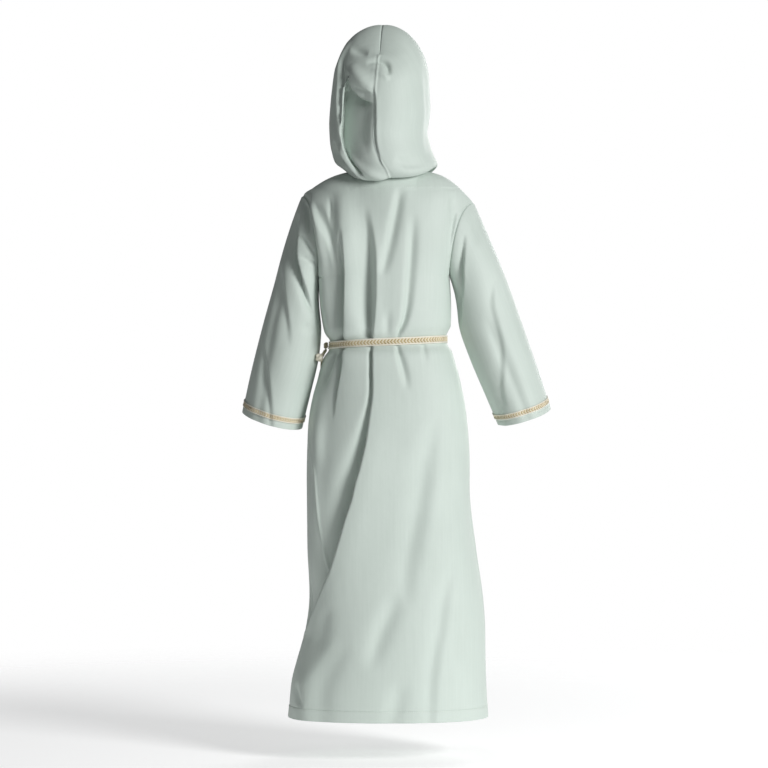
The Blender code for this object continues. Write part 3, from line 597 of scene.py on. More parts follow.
def makeCloth():
    shop = Shop(bpy.data.materials.new("sageCloth"))
    place = shop.node("ShaderNodeTexCoord", output="Object")
    uv, across, along = shop.ownMap()
    turns = 2 * math.pi / (clothFinish["threadPitch"] * mm)
    weave = (across * turns).math("SINE") * (along * turns).math("SINE") * 0.5 + 0.5
    slubScale = clothFinish["slub"]
    stretch = (slubScale, slubScale / clothFinish["slubStretch"], 1.0)
    slub = shop.noise(shop.node("ShaderNodeMapping", {"Vector": uv, "Scale": stretch}), 1.0)
    dye = shop.noise(place, clothFinish["patch"], 3.0)
    dyeWeight, slubWeight, weaveWeight = clothFinish["weights"]
    darkFrom, lightFrom = clothFinish["ramp"]
    colour = shop.node(
        "ShaderNodeValToRGB",
        {"Fac": dye * dyeWeight + slub * slubWeight + weave * weaveWeight},
        stops=((darkFrom, clothFinish["shade"]), (lightFrom, clothFinish["colour"])),
    )
    strength, depth = clothFinish["weaveDepth"]
    relief = shop.bump(weave * 0.5 + slub * 0.6, strength, depth * mm)
    strength, depth = clothFinish["rumpleDepth"]
    relief = shop.bump(shop.noise(place, clothFinish["rumple"]), strength, depth * mm, Normal=relief)
    surface = {
        "Base Color": colour,
        "Roughness": slub * clothFinish["slubRoughness"] + clothFinish["roughness"],
        "Normal": relief,
        "Specular IOR Level": 0.35,
        "Sheen Weight": 0.25,
        "Sheen Roughness": 0.45,
        "Sheen Tint": clothFinish["sheenTint"],
    }
    return shop.finish(shop.node("ShaderNodeBsdfPrincipled", surface))


threadFinish = {
    "gold": (0.66, 0.52, 0.25),
    "deepGold": (0.34, 0.24, 0.11),
    "pale": (0.95, 0.92, 0.80),
    "cream": (0.95, 0.93, 0.85),
    "straw": (0.84, 0.78, 0.62),
    "sage": (0.74, 0.80, 0.74),
    "deepSage": (0.62, 0.69, 0.63),
    "fibre": 1100.0,  # fine threads to a metre
    "wear": 60.0,  # slow unevenness, waves to a metre
    "slant": 1.4,  # how far the twist of a cord leans
    "ramp": (0.30, 0.62),
    "relief": (0.6, 0.4),
    "columns": ("name", "light", "dark", "roughness", "twist"),
    "threads": (
        ("goldThread", "gold", "deepGold", 0.38, 0),
        ("paleThread", "pale", "straw", 0.42, 0),
        ("creamCord", "cream", "straw", 0.5, 1.8),
        ("braidBack", "straw", "gold", 0.6, 1.2),
        ("ropeThread", "straw", "deepGold", 0.5, 1.6),
        ("paleRope", "cream", "gold", 0.5, 1.6),
        ("stitchThread", "sage", "deepSage", 0.5, 0),
    ),
}


def makeThread(spec):
    # spun thread: fine fibres, slow wear, and a twist along the piece's own map where it has one. The
    # twist also paints the colour darker in its grooves and lighter on its raised turns, a painted
    # shade mixed into the slow wear
    shop = Shop(bpy.data.materials.new(spec["name"]))
    place = shop.node("ShaderNodeTexCoord", output="Object")
    grain = shop.noise(place, threadFinish["fibre"])
    slow = shop.noise(place, threadFinish["wear"], 1.0)
    height = grain
    if spec["twist"]:
        _, across, along = shop.ownMap()
        turns = 2 * math.pi / (spec["twist"] * mm)
        turn = (along * turns + across * (turns / threadFinish["slant"])).math("SINE") * 0.5 + 0.5
        height = turn * 0.8 + grain * 0.3
        # painted shade: the twist's grooves darken the colour, on top of the random wear
        slow = turn * 0.5 + slow * 0.5
    darkFrom, lightFrom = threadFinish["ramp"]
    colour = shop.node(
        "ShaderNodeValToRGB",
        {"Fac": grain * 0.45 + slow * 0.55},
        stops=((darkFrom, threadFinish[spec["dark"]]), (lightFrom, threadFinish[spec["light"]])),
    )
    strength, depth = threadFinish["relief"]
    surface = {
        "Base Color": colour,
        "Roughness": spec["roughness"],
        "Normal": shop.bump(height, strength, depth * mm),
        "Metallic": 0.12,
        "Sheen Weight": 0.3,
        "Sheen Roughness": 0.4,
    }
    return shop.finish(shop.node("ShaderNodeBsdfPrincipled", surface))


cloth = makeCloth()
threadRows = rowsOf(threadFinish["columns"], threadFinish["threads"])
threads = {row["name"]: makeThread(row) for row in threadRows}
print("materials made")


# Seams: both cloths dip towards the line that they share
seam = {"dip": 2.0, "reach": 1.9, "sharedReach": 3.0}

# Back and front panels
panel = {
    "cut": {"back": (0.50, 1.05, 0.390), "front": (0.50, 1.02, 0.388)},
    "halfColumns": {"back": 112, "front": 62},
    "plainShare": 0.984,
    "edgeShares": (0.991, 0.995, 0.9978, 1.0),
    "rowStep": {"back": 5.6, "front": 7.0},
    "hemRows": (0.0, 0.8, 2.4, 8.0, 14.0, 18.0, 19.6, 20.8, 22.0, 23.6, 28.0),
    "upperRows": 56,
    "hem": {"wide": 21.0, "rise": 0.55, "soft": 1.6, "groove": 0.7, "grooveReach": 1.0},
    "wall": 1.3,
    "waves": {"back": (0.9, 42.0, 3), "front": (0.9, 42.0, 1)},  # height, scale and seed
    "sideFade": 0.035,
    "topFade": 9.0,
    "beltClear": 7.5,
    "beltFade": 8.0,
    "underBelt": 0.45,
}
slit = {"halfWidth": 6.0, "footZ": -161.0, "above": 2.0}

backCreases = (
    # centre pleat above the belt
    crease(
        (37, -50, 0, 26), (34, -72, 4, 28), (30, -100, 10, 30), (27.5, -130, 16, 32),
        (27, -165, 20, 32), (27, -200, 23, 32), (27.5, -230, 22, 28), (28, -258, 17, 20),
        (28.5, -288, 11, 9),
        side=1, up=3, upWidth=16, sharp=8.5, narrows=True,
    ),
    # the same pleat below the belt, which swings across to the left hem and laps over
    crease(
        (28, -290, 11, 4.5), (28, -345, 11, 5), (28, -380, 11, 5.5), (31.5, -406, 12, 7),
        (35, -432, 14, 11), (38.5, -458, 17, 15), (44, -485, 19, 19), (49, -507, 20, 22),
        (56, -532, 22, 25), (63, -563, 23, 27), (72, -590, 23, 28), (80, -620, 22, 28),
        (89, -651, 21, 27), (100, -686, 19, 25), (108.5, -707, 17, 23), (122, -738, 14, 20),
        (136, -773, 10, 16), (150, -800, 0, 12),
        side=1, up=9, upWidth=44, sharp=3, over=2.4,
    ),
    # second pleat, above and below the belt
    crease(
        (82, -86, 0, 6), (80, -112, 6, 7), (78.5, -140, 11, 9), (78, -175, 15, 10), (78, -215, 17, 11),
        (78, -255, 16, 10), (77, -290, 12, 8),
        side=1, up=9, upWidth=30, sharp=4.5,
    ),
    crease(
        (76.5, -290, 12, 5), (79, -318, 12, 6), (83, -345, 9, 6.5), (88, -368, 6, 7), (92, -392, 3, 8),
        (96, -420, 0, 9),
        side=1, up=5, upWidth=30, sharp=2.5, over=1.5,
    ),
    # what lies between the pleats turns towards the middle
    crease(
        (80, -14, 0, 20), (80, -40, -6, 24), (79, -80, -8, 25), (78, -120, -6, 25), (77, -170, 0, 24),
    ),
    crease(
        (124, -50, 0, 7), (119, -76, -5, 8), (114, -110, -8, 8.5), (109, -178, -9, 9),
        (105, -235, -8, 9), (99, -268, -5, 8), (95, -285, 0, 7),
    ),
    crease(
        (112, -345, 0, 12), (122, -390, -5, 13), (126, -430, -6, 13), (124, -470, -4, 12),
        (120, -510, 0, 12),
    ),
    crease((132, -800, 0, 20), (142, -850, -7, 22), (146, -900, -8, 22), (146, -950, -7, 22)),
    crease(
        (91, -300, 8, 4), (100, -318, 10, 5), (107, -336, 9, 5.5), (112, -355, 5, 6), (117, -374, 0, 6),
    ),
    # soft folds right of the centre
    crease(
        (-23, -14, 0, 8), (-19, -38, 5, 8), (-14, -65, 6, 9), (-8, -95, 6, 9), (-2, -122, 5, 9),
        (5, -150, 4, 8), (10, -172, 0, 7),
    ),
    crease(
        (-45, -62, 0, 8), (-43, -108, 5, 8), (-40, -161, 6, 8), (-37, -196, 6, 7.5), (-33, -231, 7, 6),
        (-28, -252, 8, 4.5), (-19, -271, 8, 3.5), (-15, -282, 7, 3),
    ),
    crease((1, -228, 0, 7), (1, -252, 3, 7), (2, -276, 2, 6)),
    crease(
        (-15, -290, 8, 3.5), (-20, -308, 6, 4.5), (-27, -332, 5, 6), (-32, -353, 3, 6),
        (-35, -370, 0, 6),
    ),
    crease((-62, -290, 5, 4), (-65, -305, 3, 5), (-67, -325, 0, 6)),
    # long slack folds of the skirt
    crease(
        (-90, -418, 0, 12), (-88, -440, 4, 18), (-84, -468, 6, 24), (-78, -505, 8, 32),
        (-73, -545, 9, 36), (-66, -585, 9, 36), (-56, -630, 8, 34), (-46, -680, 6, 30),
        (-40, -725, 4, 26), (-34, -760, 0, 22),
        side=1, up=1.5, upWidth=14, sharp=22,
    ),
    crease(
        (-22, -720, 0, 14), (-5, -760, 5, 16), (12, -800, 6, 17), (24, -835, 4, 15), (30, -865, 0, 14),
    ),
    crease(
        (-116, -670, 0, 8), (-111, -703, 3.5, 12), (-103, -745, 5, 16), (-97, -790, 5.5, 18),
        (-88, -835, 5.5, 18), (-82, -880, 5, 17), (-79, -925, 4, 15), (-78, -950, 3.5, 14),
        side=1, up=1, upWidth=14, sharp=13,
    ),
    crease(
        (102, -748, 0, 9), (109, -768, 3, 11), (119, -800, 4, 14), (133, -832, 4, 15),
        (146, -860, 3, 14), (152, -885, 0, 12),
    ),
    crease(
        (72, -800, 0, 12), (84, -832, 2, 15), (99, -858, 3, 17), (113, -888, 3, 18),
        (119, -920, 2.5, 18), (119, -950, 2, 18),
    ),
    crease((155, -882, 0, 4), (154, -900, 4, 4), (149, -918, 4, 4), (143, -926, 0, 4)),
    crease((-26, -880, 0, 14), (-18, -910, 4, 16), (-8, -950, 3, 16)),
    crease((-140, -520, 0, 10), (-146, -600, 3, 12), (-152, -700, 3, 12), (-158, -800, 0, 12)),
    # side seam, drawn round to the back by the pleat
    crease(
        (137, -445, 0, 1.8), (134, -470, -1.5, 1.8), (129, -520, -1.8, 1.8), (126, -563, -1.8, 1.8),
        (119, -633, -1.8, 1.8), (114, -680, -1.8, 1.8), (110, -712, 0, 1.8),
    ),
    # drag lines from the left armhole, over cloth that the shoulder lifts
    crease(
        (130, -18, 0, 20), (129, -45, -9, 22), (125, -80, -9, 20), (119, -110, -5, 16),
        (114, -140, 0, 12),
    ),
    crease(
        (126, -42, 0, 8), (122, -58, 5, 11), (114, -80, 7, 13), (104, -102, 7, 14), (97, -130, 5, 12),
        (93, -155, 3, 9), (92, -175, 0, 8),
        side=-1, up=1.5, upWidth=7, sharp=4,
    ),
    crease((102, -30, 0, 4), (100, -52, 4, 4), (100, -72, 3, 4), (101, -84, 0, 4)),
    crease((137, -26, 0, 4.5), (137, -50, 8, 5), (137, -76, 8, 4.5), (134, -96, 0, 4), power=3),
    crease((96, -22, 0, 9), (96, -60, 4, 9), (94, -90, 4, 9), (90, -120, 0, 8)),
    # and from the right armhole
    crease(
        (-121, -50, 0, 9), (-120, -66, 5, 10), (-117, -88, 6, 10), (-113, -112, 4, 10),
        (-110, -135, 0, 9),
        side=1, up=0.5, upWidth=5, sharp=2.5,
    ),
    crease((-113, -25, 0, 5), (-114, -48, 4, 6), (-113, -72, 0, 6)),
    # stitched line of the neck facing, across the upper back
    crease((68, -15, -0.7, 1.3), (0, -15.5, -0.8, 1.3), (-122, -15, -0.7, 1.3)),
    crease((68, -18, 0.7, 1.5), (0, -18.5, 0.8, 1.5), (-122, -18, 0.7, 1.5)),
)

frontCreases = (
    crease(
        (-30, -150, 0, 8), (-28, -200, 7, 9), (-27, -250, 11, 8), (-26, -288, 9, 5),
        side=1, up=2, upWidth=14, sharp=3,
    ),
    crease(
        (-27, -290, 10, 5), (-30, -350, 11, 8), (-38, -440, 12, 15), (-50, -560, 12, 22),
        (-60, -680, 7, 24), (-66, -760, 0, 24),
        side=-1, up=3, upWidth=20, sharp=4,
    ),
    crease(
        (38, -160, 0, 8), (37, -210, 7, 8), (34, -250, 10, 7), (32, -288, 9, 5),
        side=-1, up=2, upWidth=14, sharp=3,
    ),
    crease(
        (31, -290, 10, 5), (34, -360, 11, 8), (46, -470, 13, 17), (60, -600, 14, 24),
        (72, -760, 12, 27), (80, -945, 9, 28),
        side=1, up=4, upWidth=22, sharp=4,
    ),
    crease((-70, -170, 0, 8), (-68, -220, 6, 8), (-66, -285, 8, 5)),
    crease((-66, -290, 8, 5), (-72, -340, 7, 7), (-80, -420, 5, 10), (-86, -500, 0, 12)),
    crease((72, -190, 0, 7), (70, -240, 6, 7), (69, -286, 8, 5)),
    crease((69, -290, 8, 5), (76, -340, 7, 7), (88, -420, 6, 10), (96, -500, 0, 12)),
    crease((-95, -560, 0, 12), (-100, -660, 7, 16), (-104, -780, 9, 18), (-108, -945, 8, 20)),
    crease((0, -560, 0, 14), (-4, -680, 8, 18), (-6, -800, 10, 20), (-8, -945, 8, 22)),
    crease((110, -620, 0, 10), (118, -740, 7, 14), (126, -860, 7, 16), (130, -945, 5, 16)),
    crease((100, -60, 0, 6), (94, -95, 6, 7), (84, -135, 5, 9), (76, -175, 0, 10)),
    crease((-104, -70, 0, 6), (-98, -105, 6, 7), (-88, -145, 5, 9), (-80, -185, 0, 10)),
    crease((-14, -120, 0, 9), (-12, -160, 4, 9), (-10, -220, 0, 9)),
    crease((44, -90, 0, 7), (40, -120, 4, 8), (30, -150, 0, 8)),
)
panelCreases = {"back": backCreases, "front": frontCreases}


def panelShares(side):
    inner = np.linspace(0, panel["plainShare"], panel["halfColumns"][side])
    t = np.concatenate([inner, panel["edgeShares"]])
    return np.concatenate([-t[:0:-1], t])


def upperShares():
    # from the underarm to the shoulder; the first steps would be too low, and are one
    return np.concatenate([[0.0], np.arange(3, panel["upperRows"] + 1) / panel["upperRows"]])


def armholeRing(hand):
    s = -handSign[hand]
    w = upperShares()
    back = upperBody("back", s + 0 * w, w)
    front = upperBody("front", s + 0 * w, w)
    degrees = np.concatenate([180 * w, 360 - 180 * w[-2:0:-1]])
    return np.concatenate([back, front[-2:0:-1]]), degrees


def panelPoints(side):
    s = panelShares(side)
    start = body["hemZ"] + panel["hemRows"][-1]
    count = int((body["underarmZ"] - start) / panel["rowStep"][side])
    plainRows = np.linspace(start, body["underarmZ"], count)
    z = np.concatenate([body["hemZ"] + np.array(panel["hemRows"][:-1]), plainRows])
    lower = lowerBody(around(side, s)[None, :] + 0 * z[:, None], z[:, None] + 0 * s[None, :])
    lower[:, [0, -1], 1] = 0.0
    w = upperShares()[1:]
    upper = upperBody(side, s[None, :] + 0 * w[:, None], w[:, None] + 0 * s[None, :])
    return np.concatenate([lower, upper])


def seamDip(distance):
    return -seam["dip"] * bell(distance, seam["reach"])


def sharedWay(normals, distance, shared):
    # close to a seam both cloths move the same way, so that no gap opens
    share = bell(distance, seam["sharedReach"])[..., None]
    return unit(normals * (1 - share) + shared * share)


def turnedEdge(fromRim, hem):
    # the doubled cloth of a hem stands up as far as its stitching, with a groove where it ends
    beyond = fromRim - hem["wide"]
    risen = hem["rise"] * softStep(0.5 - beyond / hem["soft"])
    return risen - hem["groove"] * bell(beyond, hem["grooveReach"])


def uneven(points, waves):
    height, scale, seed = waves
    return height * slowWaves(points, scale, seed)


def beltCover(points):
    # the belt keeps ridges from standing out through it
    degrees = np.degrees(np.arctan2(points[..., 1], points[..., 0]))
    away = np.abs(points[..., 2] - beltHeight(degrees))
    return softStep((away - panel["beltClear"]) / panel["beltFade"])


def panelDepth(side, points):
    # creases die away at the seams that other pieces share
    t = np.abs(panelShares(side))[None, :]
    fromTop = fromEdge(points, 0, last=True)
    fade = softStep((1 - t) / panel["sideFade"]) * softStep(fromTop / panel["topFade"])
    depth, slide = creased(points, panelCreases[side], faceSign[side])
    depth = depth + uneven(points, panel["waves"][side])
    cover = beltCover(points)
    kept = panel["underBelt"]
    depth = np.where(depth > 0, depth * cover, depth * (kept + (1 - kept) * cover)) * fade
    sides = np.minimum(fromEdge(points, 1), fromEdge(points, 1, last=True))
    turned = turnedEdge(points[..., 2] - body["hemZ"], panel["hem"])
    return depth + seamDip(np.minimum(sides, fromTop)) + turned, slide * (fade * cover)[..., None]


def dressPanel(side):
    points = panelPoints(side)
    chest = np.array((0, 0, body["underarmZ"]))
    normals = gridNormals(points, (points - chest) * (1, 1, 0.4))
    depth, slide = panelDepth(side, points)
    way = sharedWay(normals, fromEdge(points, 0, last=True), upwards)
    above = points[..., 2:] > body["underarmZ"] - 0.5
    for hand, last in (("left", False), ("right", True)):
        ring, _ = armholeRing(hand)
        aside = np.array((handSign[hand], 0.0, 0.0))
        shared = np.where(above, unit(points - ring.mean(axis=0)), aside)
        way = sharedWay(way, fromEdge(points, 1, last=last), shared)
    return points + way * depth[..., None] + slide


def openSlit(mesh):
    # neck slit of the front: the centre edges above its foot come apart
    bm = bmesh.new()
    bm.from_mesh(mesh)
    foot = slit["footZ"] * mm
    top = (body["neckHeight"]["front"] + slit["above"]) * mm
    cut = []
    for edge in bm.edges:
        onCentre = all(abs(vert.co.x) < 1e-5 for vert in edge.verts)
        if onCentre and foot < (edge.verts[0].co.z + edge.verts[1].co.z) / 2 < top:
            cut.append(edge)
    bmesh.ops.split_edges(bm, edges=cut)
    for vert in bm.verts:
        if abs(vert.co.x) < 1e-5 and vert.co.z > foot and len(vert.link_faces):
            centre = sum(face.calc_center_median().x for face in vert.link_faces) / len(vert.link_faces)
            if abs(centre) > 1e-4:
                share = (vert.co.z - foot) / (top - foot)
                vert.co.x += math.copysign(slit["halfWidth"] * mm * share, centre)
    bm.to_mesh(mesh)
    bm.free()


def addPanel(side):
    points = dressPanel(side)
    mesh = gridMesh(f"{side}Panel", points)
    if side == "front":
        openSlit(mesh)
    outward = (0, faceSign[side], 0)
    return addCloth(f"{side}Panel", mesh, lambda p: outward, panel["wall"], f"{side}_panel"), points


panels = {side: addPanel(side) for side in ("back", "front")}
print("panels made")


# Stitching: small stitches in rows over the turned edges and the neck facing
stitch = {
    "size": (2.3, 0.7, 0.5),
    "pitch": 3.3,
    "out": 0.15,
    "hemAbove": 19.4,
    "cuffAbove": 6.8,
    "rimBehind": 14.6,
    "facingZ": -15.5,
    "facingFrom": -122.0,
    "facingTo": 68.0,
}


def lineAt(run, field, distance):
    # the line over a grid that lies at one distance along each column; run grows row by row
    found = [
        [np.interp(distance, run[:, column], field[:, column, k]) for k in range(3)]
        for column in range(field.shape[1])
    ]
    return np.array(found)


def stitchRow(name, run, points, normals, distance, closed=False, within=None):
    path = lineAt(run, points, distance)
    outward = lineAt(run, normals, distance)
    if within is not None:
        path, outward = path[within], outward[within]
    bm = bmesh.new()
    for middle, along, out in zip(*spaced(path, (outward,), stitch["pitch"], closed)):
        addStrand(bm, middle + out * stitch["out"], along, out, stitch["size"])
    return meshFrom(name, bm)


def addStitches(name, rows):
    return addPiece(name, joinMeshes(name, rows), threads["stitchThread"])


def panelStitches(side):
    points = panels[side][1]
    normals = gridNormals(points, np.array((0, faceSign[side], 0)) + 0 * points)
    name = f"{side}PanelStitches"
    rows = [stitchRow(name, fromEdge(points, 0), points, normals, stitch["hemAbove"])]
    if side == "back":
        x, z = asSeen(points, 1)
        within = (x[-1] > stitch["facingFrom"]) & (x[-1] < stitch["facingTo"])
        within &= z[-1] > stitch["facingZ"] + 3
        rows.append(stitchRow(name, z, points, normals, stitch["facingZ"], within=within))
    return addStitches(name, rows)


panelTrims = {side: panelStitches(side) for side in ("back", "front")}


# Sleeves
sleeve = {
    "cut": (0.38, 0.395, 0.112),
    "firstRows": (0.0, 0.0022, 0.005, 0.009),
    "middleRows": 132,
    "middleShares": (0.014, 0.968),
    "lastRows": (0.975, 0.984, 0.992, 0.998, 1.0),
    "settle": 0.35,
    "wall": 1.3,
    "waves": (0.8, 34.0, 5),  # height, scale and seed
    "hem": {"wide": 8.0, "rise": 0.4, "soft": 1.4, "groove": 0.5, "grooveReach": 0.9},
    "topFade": 7.0,
    "foldEnds": 0.25,
    "columns": ("v", "outerX", "outerZ", "innerX", "innerZ", "midY", "halfDepth", "backDrop"),
    "sections": {
        "left": (
            (0.00, 150, -30, 119.0, -173, 0, 46, 0),
            (0.08, 161, -50, 120.5, -188, 0, 49, 0),
            (0.20, 177, -97, 121.5, -215, -2, 52, 0),
            (0.40, 198, -178, 116.5, -262, -4, 53, 0),
            (0.60, 220, -258, 121.0, -315, -6, 55, 2),
            (0.80, 239, -334, 135.0, -375, -8, 58, 6),
            (1.00, 255, -408, 150.0, -436, -10, 61, 11),
        ),
        "right": (
            (0.00, 150, -42, 107.0, -173, 0, 46, 0),
            (0.08, 159, -61, 112.0, -186, 0, 49, 0),
            (0.20, 177, -102, 119.5, -212, -2, 52, 0),
            (0.40, 209, -182, 124.5, -262, -4, 53, 0),
            (0.60, 236, -258, 144.0, -318, -6, 56, 2),
            (0.80, 262, -332, 168.0, -374, -8, 60, 5),
            (1.00, 285, -402, 192.5, -430, -10, 65, 9),
        ),
    },
    # degrees round the sleeve: 0 inner edge, 90 back, 180 outer edge, 270 front
    "foldColumns": ("top", "low", "degTop", "degMid", "degLow", "width", "depth"),
    "folds": {
        "left": (
            (0.30, 1.10, 140, 128, 112, 10, -3),
            (0.05, 0.50, 236, 240, 262, 10, -6),
            (0.40, 1.10, 300, 288, 282, 12, -5),
        ),
        "right": (
            (0.42, 1.10, 84, 92, 96, 11, -4),
            (0.05, 0.55, 286, 276, 262, 10, -6),
            (0.45, 1.10, 232, 240, 244, 12, -5),
        ),
    },
}

sleeveCreases = {
    "left": (
        crease(
            (155, -62, 0, 9), (157, -85, 9, 12), (159, -108, 15, 15), (159, -138, 18, 16),
            (153, -166, 17, 14), (143, -196, 12, 11), (133, -226, 5, 8), (128, -240, 0, 8),
            side=1, up=3, upWidth=12, sharp=2.5, power=1.5, over=2,
        ),
        crease(
            (188, -140, 0, 11), (185, -170, 3, 13), (182, -196, 4, 15), (178, -226, 4, 16),
            (173, -262, 3, 14), (171, -296, 0, 12),
            side=1, up=1, upWidth=10, sharp=4,
        ),
        crease(
            (220, -280, 0, 9), (213, -330, 5, 11), (208, -370, 6, 10), (205, -400, 4, 9),
            (203, -430, 3, 9),
            side=1, up=1, upWidth=8, sharp=4,
        ),
        crease((158, -98, 0, 3), (149, -106, 4, 3.5), (138, -121, 4, 3.5), (128, -134, 0, 3)),
        crease((156, -134, 0, 4), (146, -140, 3, 4.5), (134, -146, 3, 4.5), (124, -150, 0, 4)),
        crease((147, -36, 0, 4), (143, -55, 5, 4), (140, -75, 5, 4), (138, -95, 0, 4)),
        crease((150, -256, 0, 7), (141, -262, 3, 8), (132, -272, 0, 7)),
    ),
    "right": (
        crease(
            (-136, -96, 0, 7), (-133, -128, 6, 9), (-131, -158, 11, 11), (-131, -186, 12, 11),
            (-128, -226, 9, 9), (-128, -256, 0, 7),
            side=1, up=1.5, upWidth=8, sharp=2.5,
        ),
        crease(
            (-190, -165, 0, 10), (-186, -190, 1.5, 12), (-184, -222, 2.5, 14), (-192, -257, 3, 16),
            (-200, -290, 3, 16), (-201, -340, 3, 16), (-199, -380, 2.5, 13), (-203, -430, 2, 12),
            side=1, up=1, upWidth=9, sharp=5,
        ),
        crease((-196, -362, 0, 5), (-198, -380, 3, 5), (-203, -398, 2, 5), (-206, -412, 0, 5)),
        crease((-152, -60, 0, 6), (-155, -90, 3, 7), (-156, -120, 0, 7)),
    ),
}


def sleeveGrid(hand):
    ring, degrees = armholeRing(hand)
    rows = rowsOf(sleeve["columns"], sleeve["sections"][hand])
    line = {key: smoothThrough(rows, "v", key) for key in sleeve["columns"][1:]}
    side = handSign[hand]
    phi = np.radians(degrees)
    middleShares = np.linspace(*sleeve["middleShares"], sleeve["middleRows"])
    shares = np.concatenate([sleeve["firstRows"], middleShares, sleeve["lastRows"]])
    v = shares[:, None] + 0 * degrees[None, :]
    outer = np.stack([side * line["outerX"](v), line["midY"](v), line["outerZ"](v)], axis=-1)
    inner = np.stack([side * line["innerX"](v), line["midY"](v), line["innerZ"](v)], axis=-1)
    middle, half = (outer + inner) / 2, (outer - inner) / 2
    depth = np.stack([0 * v, line["halfDepth"](v), -line["backDrop"](v)], axis=-1)
    tube = middle - half * np.cos(phi)[None, :, None] + depth * np.sin(phi)[None, :, None]
    settled = softStep(v / sleeve["settle"])[..., None]
    points = ring[None] * (1 - settled) + tube * settled
    out = unit(points - (ring.mean(axis=0) * (1 - settled) + middle * settled))
    radius = (np.linalg.norm(half, axis=-1) + line["halfDepth"](v)) / 2
    for fold in rowsOf(sleeve["foldColumns"], sleeve["folds"][hand]):
        share = np.clip((v - fold["top"]) / (fold["low"] - fold["top"]), 0, 1)
        centre = throughThree(fold["degTop"], fold["degMid"], fold["degLow"], share)
        ends = fadeIn(share, sleeve["foldEnds"]) * fadeIn(1 - share, sleeve["foldEnds"])
        folded = fold["depth"] * ends * bell(arcFrom(degrees, centre, radius), fold["width"])
        points = points + out * folded[..., None]
    return points


def dressSleeve(hand):
    # gives the sleeve, its stitches, and its grid from the cuff up
    points = sleeveGrid(hand)
    normals = ringNormals(points)
    behind = softStep(normals[..., 1] / 0.3)
    depth, slide = creased(points, sleeveCreases[hand], 1)
    fromTop = fromEdge(points, 0)
    fade = softStep(fromTop / sleeve["topFade"])
    depth = (depth * behind + uneven(points, sleeve["waves"])) * fade + seamDip(fromTop)
    depth = depth + turnedEdge(fromEdge(points, 0, last=True), sleeve["hem"])
    way = sharedWay(normals, fromTop, unit(points - points[0].mean(axis=0)))
    points = points + way * depth[..., None] + slide * (behind * fade)[..., None]
    mesh = gridMesh(f"sleeve_{hand}", np.concatenate([points, points[:, :1]], axis=1), closed=True)
    middle = points.mean(axis=1)

    def outward(p):
        return p - middle[np.argmin(np.linalg.norm(middle - p, axis=1))]

    name = f"sleeve{hand.capitalize()}"
    piece = addCloth(name, mesh, outward, sleeve["wall"], f"sleeve_{hand}")
    upward = {"run": fromEdge(points, 0, last=True)[::-1], "points": points[::-1]}
    upward["normals"] = ringNormals(points)[::-1]
    row = stitchRow(f"{name}Stitches", **upward, distance=stitch["cuffAbove"], closed=True)
    return piece, addStitches(f"{name}Stitches", [row]), upward


sleeves = {hand: dressSleeve(hand) for hand in ("left", "right")}
print("sleeves made")


# Hood
hood = {
    "cut": (0.29, 0.365, 0.082),
    "columns": ("backY", "backZ", "sideX", "sideY", "sideZ", "rimX", "rimY", "rimZ", "lean", "sway"),
    "sections": (
        (87, -5, 81, 0, 19, 19, -77, -5, -3, 8),
        (97, 4, 88, 0, 24, 31, -86, 8, 1, 4),
        (101, 28, 88, 0, 46, 50, -92, 29, 10, 0),
        (100, 64, 86, 0, 80, 64, -94, 60, 16, 0),
        (101, 104, 88, 0, 118, 70, -94, 105, 14, 0),
        (99, 142, 86, 0, 155, 67, -93, 148, 13, 0),
        (93, 170, 81, 2, 190, 57, -91, 185, 11, 0),
        (86, 188, 71, 4, 218, 43, -89, 213, 10, 0),
        (81, 199, 58, 5, 240, 28, -87, 232, 10, 0),
        (77, 205, 40, 6, 256, 14, -86, 243, 9, 0),
        (74, 208, 0, 6, 267, 0, -85, 248, 8, 0),
    ),
    "middle": (8.0, 0.0, 110.0),
    "neckOut": (8.0, 0.0),
    "neckUp": (8.0, 16.0),
    "liftPower": 3.0,
    "topEnd": 158.0,
    "turn": 5.5,
    "turnBy": 60.0,
    "seamShares": (0.0, 0.007, 0.014, 0.024),
    "fineFrom": 0.036,
    "fineColumns": 68,
    "fineRows": 160,
    "topPull": 1.4,
    "waves": (0.7, 30.0, 7),  # height, scale and seed
    "neckFade": 6.0,
    "topFade": 8.0,
    "hollowFrom": 20.0,
    "keel": (0.75, 1.3),
    "keelGroove": (0.4, 4.0, 1.8),
    "rim": {"wide": 16.0, "rise": 0.5, "soft": 1.6, "groove": 0.6, "grooveReach": 1.1},
    "wall": 1.3,
}

# the left half sinks straight in between the seam and the pinched ridges
hoodHollows = (
    crease(
        (62, 184, 0, 30), (70, 174, 8, 36), (76, 158, 22, 44), (79, 132, 34, 48), (80, 100, 37, 48),
        (80, 70, 34, 48), (76, 50, 25, 44), (66, 30, 14, 36), (50, 12, 5, 28), (38, 2, 0, 22),
        side=-1, sharp=2.2, up=3, upWidth=4, power=1.25,
    ),
)

